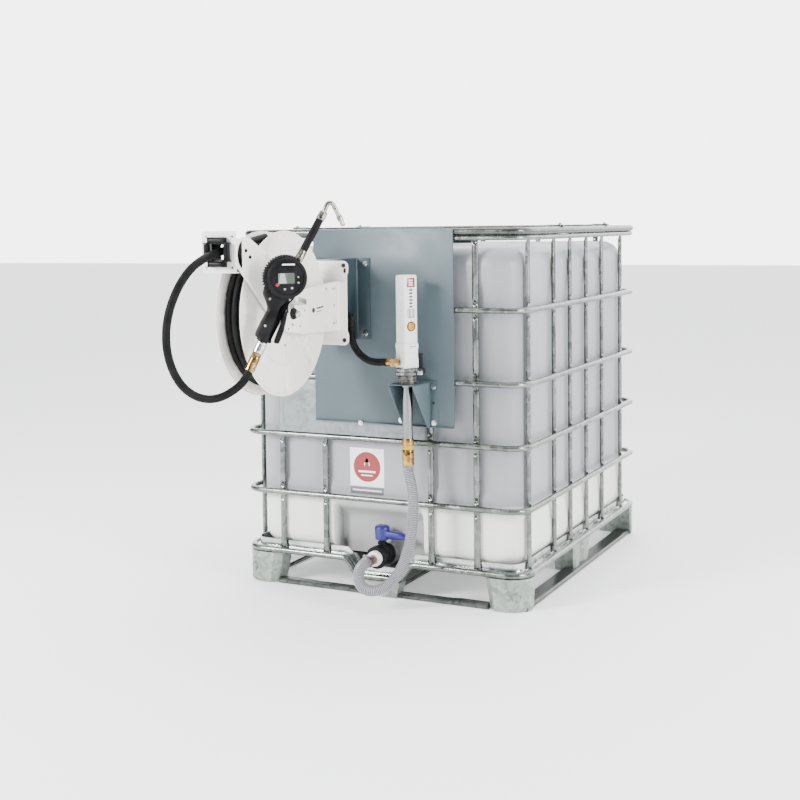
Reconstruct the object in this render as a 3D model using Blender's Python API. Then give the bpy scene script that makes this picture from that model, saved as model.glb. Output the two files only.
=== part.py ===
"""Intermediate bulk container on a steel pallet, with a hose reel, a drum pump and their hoses
hung on its front.

Metres, +Z up. The origin is on the floor under the middle of the pallet, the outlet valve faces -Y.
"""

import math

import bmesh
import bpy
from mathutils import Vector

# Driving dimensions. Outlines are given as half sizes from the middle of the pallet.
GAP = 0.0005  # between pieces that touch
HALF_X = 0.500
HALF_Y = 0.600
CORNER_RADIUS = 0.075

# Cage: horizontal rings outside, vertical bars inside them, two bars across the top.
RING_RADIUS = 0.009
RING_INSET = 0.009
RING_HEIGHTS = (0.307, 0.499, 0.690, 0.9125)
RIM_RADIUS = 0.011
RIM_HEIGHT = 1.149
RIM_LOWER_RADIUS = 0.0085
RIM_LOWER_HEIGHT = 1.1305
BAR_WIDTH = 0.020
BAR_DEPTH = 0.012
BAR_CHAMFER = 0.003
BAR_INSET = 0.0203  # outer face of a bar, in from the cage's outline
BAR_BOTTOM = 0.1125
BAR_TOP = 1.138
FRONT_BARS_X = (-0.355, -0.195, 0.178, 0.332)
BACK_BARS_X = (-0.345, -0.115, 0.115, 0.345)
SIDE_BARS_Y = (-0.500, -0.270, -0.110, 0.060, 0.235, 0.460)
CROSSBARS_Y = (-0.235, 0.235)
CROSSBAR_RADIUS = 0.010

# Pallet: a steel pan with a tubular edge, on three runners and two skids.
PAN_INSET = 0.0328
PAN_SHEET = 0.003
PAN_FLOOR = 0.111
PAN_EDGE = 0.142
RAIL_RADIUS = 0.010
RAIL_HEIGHT = 0.112
DISH_HALF_WIDTH = 0.070
DISH_SLOPE = 0.050
DISH_DEPTH = 0.052
DISH_BACK_Y = -0.455
FOOT_TOP = 0.1015  # under the rail
MIDDLE_FOOT_TOP = 0.1075  # under the pan's floor
FRONT_FOOT_TOP = 0.0490  # under the dish
SKID_HEIGHT = 0.016
FOOT_X = (0.360, 0.497)
FOOT_Y = (0.510, 0.597)
SIDE_FOOT_X = (0.400, 0.478)
SIDE_FOOT_HALF_Y = 0.085
RUNNER_X = (0.435, 0.490)
SKID_Y = (0.545, 0.590)

# Bottle, moulded in one piece with its neck and outlet.
BOTTLE_HALF_X = 0.466
BOTTLE_HALF_Y = 0.566
BOTTLE_CORNER = 0.095
BOTTLE_BOTTOM = 0.1145
BOTTLE_TOP = 1.102
BOTTLE_EDGE = 0.060
BOTTLE_WALL = 0.003
NECK_RADIUS = 0.075
NECK_TOP = 1.135
CAP_RADIUS = 0.085
CAP_SKIRT_RADIUS = 0.0765
CAP_BOTTOM = 1.108
CAP_TOP = 1.150
RECESS_X = (-0.176, 0.146)
RECESS_TOP = 0.300
RECESS_DEPTH = 0.054

# Outlet valve, adapter and lever, on one axis along Y.
OUTLET_HEIGHT = 0.126
OUTLET_RADIUS = 0.028
OUTLET_FRONT_Y = -0.532
LEVER_Y = -0.560

# Plates and brackets of the kit.
WALL_PLATE_X = (-0.210, 0.274)
WALL_PLATE_Z = (0.552, 1.1595)
WALL_PLATE_Y = (-0.6057, -0.6027)
HOOK_X = (-0.038, 0.229)
HOOK_INNER_Y = (-0.5787, -0.5757)  # the leg behind the rim
HOOK_TIP_Z = 1.142
LABEL_X = (-0.350, 0.170)
LABEL_Z = (0.509, 0.680)
LABEL_FRONT_Y = -0.5985
LABEL_SHEET = 0.0015
BRACKET_Z = (0.817, 1.070)
BRACKET_WEBS_X = (-0.168, -0.052)
BRACKET_FLANGES_X = (-0.208, -0.007)
BRACKET_FRONT_Y = -0.705
SHEET = 0.003
PUMP_BRACKET_X = (0.112, 0.196)
PUMP_BRACKET_FLANGES_X = (0.086, 0.220)
PUMP_BRACKET_Z = (0.551, 0.695)
PUMP_BRACKET_FRONT_Y = -0.730

# Pump, standing on its bracket with the suction tube through it.
PUMP_X = 0.155
PUMP_Y = -0.685
PUMP_TURN = math.radians(-31.0)
PUMP_BODY_Z = (0.7425, 1.022)
SUCTION_TUBE_RADIUS = 0.015
SUCTION_TUBE_BOTTOM = 0.4450
SUCTION_END_TOP = 0.5280  # the brass end is below this
FLANGE_RADIUS = 0.0360
PUMP_INLET = (-0.7180, 0.7600)  # y and z of the fitting at the pump's left side

# Hose reel: its axis runs along X.
AXIS_Y = -0.985
AXIS_Z = 0.921
DISC_RADIUS = 0.238
DRUM_X = (-0.1605, -0.0915)
DISC_SHEET = 0.002
CORE_RADIUS = 0.103
WOUND_RADIUS = 0.212
SHAFT_RADIUS = 0.0120
REEL_PLATE_X = (-0.190, -0.030)
REEL_PLATE_Z = (0.806, 1.064)
REEL_PLATE_Y = (-0.7100, -0.7055)
ELBOW_Y = -0.680  # the feed elbow lies in this plane
ELBOW_RADIUS = 0.0105
PEDESTAL_X = (-0.0730, -0.0620)
CRADLE_Z = (0.9550, 0.9590)
ARM_X = (-0.0850, -0.0736)
ROLLER_X = 0.5 * (DRUM_X[0] + DRUM_X[1])
ROLLER_Y = -1.2700
ROLLER_Z = 1.104
ROLLER_RADIUS = 0.009
ROLLER_LENGTH = 0.044
ROLLER_OFFSET = 0.032
ROLLER_PLATE_HALF = 0.055
ARM_TIP = (-1.203, 1.096)
ARM_TIP_RADIUS = 0.048

# Dispensing gun: drawn in its own upright plane, (h, z) from the middle of its meter.
GUN_CENTRE = Vector((0.012, -1.150, 1.032))
GUN_ANGLE = math.radians(45.0)
GUN_H = Vector((math.cos(GUN_ANGLE), math.sin(GUN_ANGLE), 0.0))
GUN_N = Vector((math.sin(GUN_ANGLE), -math.cos(GUN_ANGLE), 0.0))
METER_RADIUS = 0.058
METER_DEPTH = (-0.018, 0.038)
TRIGGER_PIVOT = (-0.002, -0.088)
BUTTON_PLACE = (-0.029, -0.0175)
BUTTON_RADIUS = 0.005

# Hoses: outer radii and the points that each one passes through.
DELIVERY_RADIUS = 0.011
SUCTION_RADIUS = 0.017
DELIVERY_ROUTE = (
    (-0.126, -1.0245, 1.1413), (-0.126, -1.080, 1.1330), (-0.126, -1.140, 1.1230), (-0.126, -1.200, 1.1130),
    (-0.126, -1.256, 1.1040), (-0.126, -1.300, 1.0960), (-0.127, -1.340, 1.0845), (-0.131, -1.376, 1.0670),
    (-0.138, -1.408, 1.0380), (-0.147, -1.432, 1.0000), (-0.156, -1.449, 0.9520), (-0.161, -1.456, 0.9000),
    (-0.161, -1.452, 0.8480), (-0.156, -1.436, 0.7990), (-0.147, -1.410, 0.7580), (-0.134, -1.376, 0.7300),
    (-0.119, -1.338, 0.7160), (-0.104, -1.301, 0.7165), (-0.091, -1.270, 0.7270), (-0.078, -1.245, 0.7430),
    (-0.0675, -1.2295, 0.7621), (-0.0611, -1.2231, 0.7801),
)
FEED_ROUTE = (
    (-0.0365, -0.6800, 0.8640), (-0.0365, -0.6800, 0.8480), (-0.0345, -0.6815, 0.8280),
    (-0.0280, -0.6840, 0.8090), (-0.0170, -0.6880, 0.7930), (-0.0020, -0.6930, 0.7795),
    (0.0160, -0.6990, 0.7690), (0.0360, -0.7060, 0.7620), (0.0560, -0.7120, 0.7590),
    (0.0740, -0.7160, 0.7590), (0.0900, -0.7180, 0.7600), (0.1018, -0.7180, 0.7600),
)
SUCTION_ROUTE = (
    (0.0000, -0.6660, 0.1260), (0.0000, -0.6780, 0.1260), (0.0000, -0.6980, 0.1235),
    (0.0025, -0.7230, 0.1130), (0.0100, -0.7420, 0.0960), (0.0240, -0.7530, 0.0790),
    (0.0430, -0.7570, 0.0690), (0.0660, -0.7550, 0.0670), (0.0900, -0.7470, 0.0740),
    (0.1120, -0.7350, 0.0900), (0.1300, -0.7220, 0.1140), (0.1450, -0.7100, 0.1450),
    (0.1570, -0.7000, 0.1850), (0.1660, -0.6940, 0.2300), (0.1710, -0.6900, 0.2800),
    (0.1720, -0.6880, 0.3300), (0.1685, -0.6865, 0.3750), (0.1610, -0.6855, 0.4050),
    (0.1550, -0.6850, 0.4300), (0.1550, -0.6850, 0.4445),
)

for old in list(bpy.data.objects):
    bpy.data.objects.remove(old)


def make_material(name, colour, roughness, metallic):
    material = bpy.data.materials.new(name)
    material.use_nodes = True
    shader = material.node_tree.nodes["Principled BSDF"]
    shader.inputs["Base Color"].default_value = (*colour, 1.0)
    shader.inputs["Roughness"].default_value = roughness
    shader.inputs["Metallic"].default_value = metallic
    return material


GALVANISED = ((0.42, 0.45, 0.43), 0.40, 0.90)
BLUE_GREY_PAINT = ((0.28, 0.35, 0.38), 0.45, 0.0)
WHITE_PAINT = ((0.86, 0.84, 0.80), 0.35, 0.0)
WHITE_PLASTIC = ((0.85, 0.87, 0.88), 0.35, 0.0)
BLACK_PLASTIC = ((0.02, 0.02, 0.022), 0.45, 0.0)
BLACK_RUBBER = ((0.02, 0.02, 0.02), 0.70, 0.0)
BLUE_PLASTIC = ((0.03, 0.03, 0.35), 0.35, 0.0)
BRASS = ((0.55, 0.38, 0.16), 0.30, 1.0)
STEEL = ((0.55, 0.55, 0.54), 0.25, 1.0)
GREY_PVC = ((0.42, 0.42, 0.44), 0.40, 0.0)
RED_PLASTIC = ((0.65, 0.05, 0.06), 0.40, 0.0)


def finished(name, mesh_data, look):
    """The object that holds this mesh, with a material of its own and its round faces shaded smooth."""
    mesh = bpy.data.meshes.new(name)
    bmesh.ops.recalc_face_normals(mesh_data, faces=mesh_data.faces)
    mesh_data.to_mesh(mesh)
    mesh_data.free()
    mesh.shade_smooth()
    mesh.set_sharp_from_angle(angle=math.radians(35.0))
    mesh.materials.append(make_material(name, *look))
    piece = bpy.data.objects.new(name, mesh)
    bpy.context.scene.collection.objects.link(piece)
    return piece


def skin(loops, ring=False):
    """A closed body over loops of as many points each. Its ends are capped, unless the last loop
    joins the first."""
    mesh_data = bmesh.new()
    rows = [[mesh_data.verts.new(point) for point in loop] for loop in loops]
    count = len(rows[0])
    pairs = list(zip(rows, rows[1:]))
    if ring:
        pairs.append((rows[-1], rows[0]))
    for low, high in pairs:
        for i in range(count):
            j = (i + 1) % count
            mesh_data.faces.new((low[i], low[j], high[j], high[i]))
    if not ring:
        mesh_data.faces.new(rows[0])
        mesh_data.faces.new(rows[-1])
    return mesh_data


def block(name, low, high, look):
    """A box from its lowest to its highest corner."""
    (x0, y0, z0), (x1, y1, z1) = low, high
    loops = [[(x0, y0, z), (x1, y0, z), (x1, y1, z), (x0, y1, z)] for z in (z0, z1)]
    return finished(name, skin(loops), look)


def prism(name, outline, place, depth, look):
    """A flat outline made solid: place(a, b, d) puts an outline point at depth d."""
    return finished(name, skin([[place(a, b, d) for a, b in outline] for d in depth]), look)


def in_yz(y, z, x):
    return (x, y, z)


def in_xy(x, y, z):
    return (x, y, z)


def in_gun(h, z, n):
    """A point of the gun's plane, n in front of it."""
    return tuple(GUN_CENTRE + h * GUN_H + n * GUN_N + Vector((0.0, 0.0, z)))


def arc(centre, radius, start, end, steps):
    """Points of an arc, its angles in degrees."""
    turn = [math.radians(start + (end - start) * i / steps) for i in range(steps + 1)]
    return [(centre[0] + radius * math.cos(t), centre[1] + radius * math.sin(t)) for t in turn]


def rounded_outline(half_x, half_y, radius, steps, front=()):
    """A rectangle with round corners, as points from its right side round; front gives extra
    points on -Y."""
    points = []
    for quarter, (side_x, side_y) in enumerate(((1, 1), (-1, 1), (-1, -1), (1, -1))):
        centre = (side_x * (half_x - radius), side_y * (half_y - radius))
        points += arc(centre, radius, 90.0 * quarter, 90.0 * quarter + 90.0, steps)
        if quarter == 2:
            points += [(x, -half_y) for x in front]
    return points


def turned(name, profile, origin, axis, sides, look, ring=False):
    """A body turned about an axis from (distance along it, radius) points; a ring's profile closes
    on itself."""
    axis = Vector(axis).normalized()
    across = axis.orthogonal().normalized()
    third = axis.cross(across)
    spokes = [2.0 * math.pi * (i + 0.5) / sides for i in range(sides)]
    loops = []
    for along, radius in profile:
        middle = Vector(origin) + axis * along
        loops.append([middle + radius * (math.cos(t) * across + math.sin(t) * third) for t in spokes])
    return finished(name, skin(loops, ring=ring), look)


def swept_ring(name, profile, half_x, half_y, radius, steps, look):
    """A closed hoop: profile gives (outward, up) points, carried round a rounded rectangle."""
    loops = []
    for outward, height in profile:
        loop = rounded_outline(half_x + outward, half_y + outward, radius + outward, steps)
        loops.append([(x, y, height) for x, y in loop])
    return finished(name, skin(loops, ring=True), look)


def hose(name, route, radius, look):
    """A round hose on a smooth curve through its route."""
    corners = [Vector(point) for point in route]
    ends = [2.0 * corners[0] - corners[1], *corners, 2.0 * corners[-1] - corners[-2]]
    points = []
    for before, start, end, after in zip(ends, ends[1:], ends[2:], ends[3:]):
        steps = max(1, round((end - start).length / (4.0 * radius)))
        for i in range(steps):
            t = i / steps
            points.append(0.5 * (2.0 * start + (end - before) * t
                                 + (2.0 * before - 5.0 * start + 4.0 * end - after) * t * t
                                 + (3.0 * start - before - 3.0 * end + after) * t * t * t))
    points.append(corners[-1])
    curve = bpy.data.curves.new(name, "CURVE")
    curve.dimensions = "3D"
    curve.bevel_depth = radius
    curve.bevel_resolution = 3
    curve.use_fill_caps = True
    spline = curve.splines.new("POLY")
    spline.points.add(len(points) - 1)
    for slot, point in zip(spline.points, points):
        slot.co = (*point, 1.0)
    curve.materials.append(make_material(name, *look))
    piece = bpy.data.objects.new(name, curve)
    bpy.context.scene.collection.objects.link(piece)
    return piece


def joined(piece, operation, *others):
    """Adds or cuts the other bodies with Booleans; they stay behind as hidden guides."""
    for other in others:
        other.hide_render = True
        other.display_type = "WIRE"
        step = piece.modifiers.new(f"{operation.lower()}_{other.name}", "BOOLEAN")
        step.operation = operation
        step.solver = "EXACT"
        step.object = other
    return piece


def move_origin(piece, point):
    """Puts the piece's origin on its joint's axis without moving its shape."""
    offset = Vector(point)
    for vertex in piece.data.vertices:
        vertex.co -= offset
    piece.location = offset


# Pallet.
def dished(x, y, z):
    """Lowers the front middle of the pan into the dish that takes the outlet."""
    across = (DISH_HALF_WIDTH + DISH_SLOPE - abs(x)) / DISH_SLOPE
    along = (DISH_BACK_Y - y) / (DISH_BACK_Y + HALF_Y - PAN_INSET)
    across = min(1.0, max(0.0, across))
    along = min(1.0, max(0.0, along))
    return (x, y, z - DISH_DEPTH * across * across * (3.0 - 2.0 * across) * along)


def pallet_pan():
    """The sheet pan: floor, upstand and the tube that its flange is rolled round."""
    edge = -PAN_INSET
    rail = arc((-RAIL_RADIUS, RAIL_HEIGHT), RAIL_RADIUS, 180.0, -165.0, 10)
    middle = DISH_BACK_Y + HALF_Y
    profile = [(-middle, PAN_FLOOR), (edge - PAN_SHEET, PAN_FLOOR), (edge - PAN_SHEET, PAN_EDGE),
               (edge, PAN_EDGE),
               (edge, PAN_FLOOR), *rail,
               (edge, PAN_FLOOR - PAN_SHEET), (-middle, PAN_FLOOR - PAN_SHEET)]
    slope = DISH_HALF_WIDTH + DISH_SLOPE
    half = [slope - DISH_SLOPE * k / 4 for k in range(5)]
    front = [-x for x in half] + [0.0] + half[::-1]
    loops = []
    for outward, height in profile:
        radius = max(0.020, CORNER_RADIUS + outward)
        loop = rounded_outline(HALF_X + outward, HALF_Y + outward, radius, 5, front)
        loops.append([dished(x, y, height) for x, y in loop])
    finished("pallet_pan", skin(loops), GALVANISED)


def pallet_runner(name, side):
    """A flat runner along Y with a round-cornered foot at each end and one in the middle."""
    low_x, high_x = sorted((side * RUNNER_X[0], side * RUNNER_X[1]))
    runner = block(name, (low_x, -0.580, 0.0), (high_x, 0.580, SKID_HEIGHT), GALVANISED)
    low_x, high_x = sorted((side * SIDE_FOOT_X[0], side * SIDE_FOOT_X[1]))
    middle = block(name + "_middle_foot", (low_x, -SIDE_FOOT_HALF_Y, 0.0),
                   (high_x, SIDE_FOOT_HALF_Y, FOOT_TOP),
                   GALVANISED)
    radius = 0.065
    corner = (FOOT_X[1] - radius, FOOT_Y[1] - radius)
    quarter = [(FOOT_X[0], FOOT_Y[0]), (FOOT_X[1], FOOT_Y[0]), *arc(corner, radius, 0.0, 90.0, 5),
               (FOOT_X[0], FOOT_Y[1])]
    feet = [middle]
    for end in (-1, 1):
        outline = [(side * x, end * y) for x, y in quarter]
        feet.append(prism(f"{name}_foot_{end}", outline, in_xy, (0.0, FOOT_TOP), GALVANISED))
    joined(runner, "UNION", *feet)


def pallet_base():
    for name, side in (("pallet_runner_left", -1), ("pallet_runner_right", 1)):
        pallet_runner(name, side)
    middle = block("pallet_runner_middle", (-0.030, -SKID_Y[0] + GAP, 0.0),
                   (0.030, SKID_Y[0] - GAP, SKID_HEIGHT),
                   GALVANISED)
    joined(middle, "UNION", block("middle_foot", (-0.060, -0.060, 0.0), (0.060, 0.060, MIDDLE_FOOT_TOP),
                                  GALVANISED))
    skid_end = FOOT_X[0] - GAP
    for name, end, foot_top in (("pallet_skid_front", -1, FRONT_FOOT_TOP),
                                ("pallet_skid_back", 1, FOOT_TOP)):
        low_y, high_y = sorted((end * SKID_Y[0], end * SKID_Y[1]))
        skid = block(name, (-skid_end, low_y, 0.0), (skid_end, high_y, SKID_HEIGHT), GALVANISED)
        low_y, high_y = sorted((end * (SKID_Y[0] + 0.001), end * FOOT_Y[1]))
        foot = block(name + "_foot", (-0.075, low_y, 0.0), (0.075, high_y, foot_top), GALVANISED)
        joined(skid, "UNION", foot)


# Cage.
def cage_rings():
    sides = 8
    tube = [(RING_RADIUS * math.cos(2.0 * math.pi * (i + 0.5) / sides),
             RING_RADIUS * math.sin(2.0 * math.pi * (i + 0.5) / sides)) for i in range(sides)]
    middle = (HALF_X - RING_INSET, HALF_Y - RING_INSET, CORNER_RADIUS - RING_INSET)
    for number, height in enumerate(RING_HEIGHTS, 1):
        profile = [(outward, height + up) for outward, up in tube]
        swept_ring(f"cage_ring_{number}", profile, *middle, 5, GALVANISED)
    upper = arc((0.0, RIM_HEIGHT), RIM_RADIUS, -50.0, 230.0, 8)
    lower = arc((0.0, RIM_LOWER_HEIGHT), RIM_LOWER_RADIUS, 130.0, 410.0, 6)
    swept_ring("cage_top_rim", upper + lower, *middle, 5, GALVANISED)


def cage_bar(name, x, y, face):
    """An upright tube with chamfered corners, on the inner side of the rings; face is the cage
    side it stands at."""
    outer = (HALF_X if face[0] else HALF_Y) - BAR_INSET
    half, chamfer = 0.5 * BAR_WIDTH, BAR_CHAMFER
    section = []
    for across, deep in ((-1, 0), (1, 0), (1, 1), (-1, 1)):
        ends = [(across * half, chamfer), (across * (half - chamfer), 0.0)]
        if deep:
            ends = [(a, BAR_DEPTH - d) for a, d in ends]
        section += ends if across * (1 if deep else -1) > 0 else ends[::-1]
    loops = []
    for height in (BAR_BOTTOM, BAR_TOP):
        loop = []
        for across, depth in section:
            if face[0]:
                loop.append((face[0] * (outer - depth), y + across, height))
            else:
                loop.append((x + across, face[1] * (outer - depth), height))
        loops.append(loop)
    finished(name, skin(loops), GALVANISED)


def cage_bars():
    for number, x in enumerate(FRONT_BARS_X, 1):
        cage_bar(f"cage_bar_front_{number}", x, 0.0, (0, -1))
    for number, x in enumerate(BACK_BARS_X, 1):
        cage_bar(f"cage_bar_back_{number}", x, 0.0, (0, 1))
    for number, y in enumerate(SIDE_BARS_Y, 1):
        cage_bar(f"cage_bar_left_{number}", 0.0, y, (-1, 0))
        cage_bar(f"cage_bar_right_{number}", 0.0, y, (1, 0))


def cage_crossbars():
    """Bars over the bottle from side to side, flattened where they are screwed down on the rim."""
    top = RIM_HEIGHT + RIM_RADIUS + GAP
    end, bend = HALF_X - 0.002, HALF_X - 0.060
    drop = 0.006
    stations = []
    for side in (-1, 1):
        path = [(end, top + 0.003, 0.003, 0.012), (end - 0.030, top + 0.003, 0.003, 0.012),
                (bend, top - drop, CROSSBAR_RADIUS, CROSSBAR_RADIUS)]
        stations += [(side * x, z, up, wide) for x, z, up, wide in (path if side < 0 else path[::-1])]
    for name, y in zip(("cage_crossbar_front", "cage_crossbar_back"), CROSSBARS_Y):
        loops = []
        for x, z, up, wide in stations:
            turn = [2.0 * math.pi * (i + 0.5) / 8 for i in range(8)]
            loops.append([(x, y + wide * math.cos(t), z + up * math.sin(t)) for t in turn])
        finished(name, skin(loops), GALVANISED)


# Bottle.
def bottle_body(name, inset, look):
    """The rounded block that both the bottle's outside and its inside are."""
    low, high = BOTTLE_BOTTOM + inset, BOTTLE_TOP - inset
    radius = BOTTLE_EDGE - inset
    levels = [(low + radius * (1.0 - math.cos(t)), radius * (1.0 - math.sin(t)))
              for t in (math.radians(a) for a in (0.0, 22.5, 45.0, 67.5, 90.0))]
    levels += [(high - (z - low), pull) for z, pull in reversed(levels)]
    loops = []
    for z, pull in levels:
        step = inset + pull
        outline = rounded_outline(BOTTLE_HALF_X - step, BOTTLE_HALF_Y - step, BOTTLE_CORNER - 0.6 * step, 5)
        loops.append([(x, y, z) for x, y in outline])
    return finished(name, skin(loops), look)


def recess(name, grow):
    """The pocket in the front that the valve sits in: upright back wall, sloping roof."""
    back = -BOTTLE_HALF_Y + RECESS_DEPTH + grow
    roof = RECESS_TOP + grow
    side = [(-0.600, 0.080), (-0.600, roof + 0.020), (-BOTTLE_HALF_Y, roof), (back, roof - 0.070),
            (back, 0.080)]
    return prism(name, side, in_yz, (RECESS_X[0] - grow, RECESS_X[1] + grow), WHITE_PLASTIC)


def bottle():
    outside = bottle_body("bottle", 0.0, WHITE_PLASTIC)
    neck = turned("bottle_neck", ((BOTTLE_TOP - 0.010, NECK_RADIUS), (NECK_TOP, NECK_RADIUS)), (0, 0, 0),
                  (0, 0, 1), 24, WHITE_PLASTIC)
    outlet = turned("bottle_outlet", ((-BOTTLE_HALF_Y + RECESS_DEPTH + 0.002, OUTLET_RADIUS),
                                      (OUTLET_FRONT_Y, OUTLET_RADIUS)), (0, 0, OUTLET_HEIGHT), (0, 1, 0), 16,
                    WHITE_PLASTIC)
    joined(outside, "DIFFERENCE", recess("valve_recess", 0.0))
    joined(outside, "UNION", neck, outlet)
    inside = bottle_body("bottle_space", BOTTLE_WALL, WHITE_PLASTIC)
    joined(inside, "DIFFERENCE", recess("valve_recess_inside", BOTTLE_WALL))
    bore = turned("neck_bore", ((BOTTLE_TOP - 0.020, NECK_RADIUS - 0.004),
                                (NECK_TOP + 0.010, NECK_RADIUS - 0.004)),
                  (0, 0, 0), (0, 0, 1), 24, WHITE_PLASTIC)
    joined(inside, "UNION", bore)
    joined(outside, "DIFFERENCE", inside)


def filler_cap():
    """A cup that screws over the neck."""
    chamfer = 0.004
    profile = ((CAP_BOTTOM, CAP_RADIUS), (CAP_TOP - chamfer, CAP_RADIUS), (CAP_TOP, CAP_RADIUS - chamfer))
    cap = turned("filler_cap", profile, (0, 0, 0), (0, 0, 1), 28, BLACK_PLASTIC)
    hollow = turned("cap_hollow", ((CAP_BOTTOM - 0.010, CAP_SKIRT_RADIUS),
                                   (NECK_TOP + 0.001, CAP_SKIRT_RADIUS)),
                    (0, 0, 0), (0, 0, 1), 28, BLACK_PLASTIC)
    joined(cap, "DIFFERENCE", hollow)


# Outlet valve.
def outlet_valve():
    centre = (0.0, 0.0, OUTLET_HEIGHT)
    body = turned("valve_body", ((-0.607, 0.030), (-0.607, 0.036), (-0.588, 0.036), (-0.588, 0.031),
                                 (-0.545, 0.031), (-0.545, 0.034), (OUTLET_FRONT_Y - GAP, 0.034)),
                  centre, (0, 1, 0), 20, BLACK_PLASTIC)
    boss = turned("stem_boss", ((OUTLET_HEIGHT, 0.013), (0.1750, 0.013)), (0.0, LEVER_Y, 0.0), (0, 0, 1), 12,
                  BLACK_PLASTIC)
    joined(body, "UNION", boss)
    turned("hose_adapter", ((-0.6655, 0.0125), (-0.6400, 0.0150), (-0.6260, 0.0150), (-0.6260, 0.0240),
                            (-0.6075, 0.0240)), centre, (0, 1, 0), 16, BRASS)
    hub = turned("valve_lever", ((0.1755, 0.022), (0.2120, 0.024), (0.2210, 0.020)), (0.0, LEVER_Y, 0.0),
                 (0, 0, 1), 16, BLUE_PLASTIC)
    outline = [(0.010, -0.014), (0.060, -0.014), *arc((0.074, 0.0), 0.012, -90.0, 90.0, 4), (0.060, 0.014),
               (0.010, 0.014)]
    arm = prism("lever_arm", [(x, LEVER_Y + y) for x, y in outline], in_xy, (0.1800, 0.2040), BLUE_PLASTIC)
    joined(hub, "UNION", arm)
    move_origin(hub, (0.0, LEVER_Y, OUTLET_HEIGHT))
    move_origin(arm, (0.0, LEVER_Y, OUTLET_HEIGHT))


# Plates and brackets.
def wall_plate():
    """The sheet that hangs on the cage's rim and carries the reel and the pump."""
    (x0, x1), (y0, y1), (z0, z1) = WALL_PLATE_X, WALL_PLATE_Y, WALL_PLATE_Z
    plate = block("wall_plate", (x0, y0, z0), (x1, y1, z1), BLUE_GREY_PAINT)
    top = RIM_HEIGHT + RIM_RADIUS + GAP
    leg, leg_back = HOOK_INNER_Y
    root = z1 - 0.004
    profile = [(y0, root), (y0, top + SHEET), (leg_back, top + SHEET), (leg_back, HOOK_TIP_Z),
               (leg, HOOK_TIP_Z),
               (leg, top), (y1, top), (y1, root)]
    hook = prism("plate_hook", profile, in_yz, HOOK_X, BLUE_GREY_PAINT)
    joined(plate, "UNION", hook)


def label_plate():
    """A shallow galvanised tray on the front bars."""
    (x0, x1), (z0, z1) = LABEL_X, LABEL_Z
    front, back, sheet = LABEL_FRONT_Y, -HALF_Y + BAR_INSET - GAP, LABEL_SHEET
    outline = [(x0, back), (x0, front), (x1, front), (x1, back), (x1 - sheet, back),
               (x1 - sheet, front + sheet),
               (x0 + sheet, front + sheet), (x0 + sheet, back)]
    prism("label_plate", outline, in_xy, (z0, z1), GALVANISED)


def reel_bracket():
    """A channel on the wall plate that holds the reel clear of it, with the elbow that feeds the reel."""
    back = WALL_PLATE_Y[0] - GAP
    (f0, f1), (w0, w1), front = BRACKET_FLANGES_X, BRACKET_WEBS_X, BRACKET_FRONT_Y
    outline = [(f0, back), (f0, back - SHEET), (w0, back - SHEET), (w0, front), (w1, front),
               (w1, back - SHEET),
               (f1, back - SHEET), (f1, back), (w1 - SHEET, back), (w1 - SHEET, front + SHEET),
               (w0 + SHEET, front + SHEET), (w0 + SHEET, back)]
    bracket = prism("reel_bracket", outline, in_xy, BRACKET_Z, BLUE_GREY_PAINT)
    turn = [(-0.0545, 0.8980), (-0.0470, 0.8980), (-0.0410, 0.8960), (-0.0375, 0.8910), (-0.0365, 0.8840),
            (-0.0365, 0.8645)]
    facing = [(1, 0), (1, -0.1), (0.85, -0.5), (0.5, -0.85), (0.1, -1), (0, -1)]
    loops = []
    for (x, z), (along_x, along_z) in zip(turn, facing):
        side = Vector((-along_z, 0.0, along_x)).normalized()
        spokes = [2.0 * math.pi * (i + 0.5) / 10 for i in range(10)]
        middle = Vector((x, ELBOW_Y, z))
        loops.append([middle + ELBOW_RADIUS * (math.cos(t) * side + math.sin(t) * Vector((0, 1, 0)))
                      for t in spokes])
    joined(bracket, "UNION", finished("feed_elbow", skin(loops), BLACK_PLASTIC))


def pump_bracket():
    """A shelf on two triangular gussets, each with a flange bolted to the wall plate."""
    back = WALL_PLATE_Y[0] - GAP
    (g0, g1), (f0, f1), (z0, z1) = PUMP_BRACKET_X, PUMP_BRACKET_FLANGES_X, PUMP_BRACKET_Z
    shelf = block("pump_bracket", (g0, PUMP_BRACKET_FRONT_Y, z1 - SHEET), (g1, back, z1), BLUE_GREY_PAINT)
    side = [(back, z0), (back, z1), (PUMP_BRACKET_FRONT_Y, z1), (PUMP_BRACKET_FRONT_Y, z1 - 0.008),
            (back - 0.020, z0)]
    pieces = []
    for number, (x, flange) in enumerate((((g0, g0 + SHEET), (f0, g0 + SHEET)),
                                          ((g1 - SHEET, g1), (g1 - SHEET, f1)))):
        pieces.append(prism(f"pump_gusset_{number}", side, in_yz, x, BLUE_GREY_PAINT))
        pieces.append(block(f"pump_flange_{number}", (flange[0], back - SHEET, z0), (flange[1], back, z1),
                            BLUE_GREY_PAINT))
    joined(shelf, "UNION", *pieces)
    radius = SUCTION_TUBE_RADIUS + 0.001
    hole = turned("pump_bracket_hole", ((z1 - 0.020, radius), (z1 + 0.020, radius)), (PUMP_X, PUMP_Y, 0.0),
                  (0, 0, 1), 16, BLUE_GREY_PAINT)
    joined(shelf, "DIFFERENCE", hole)


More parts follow.
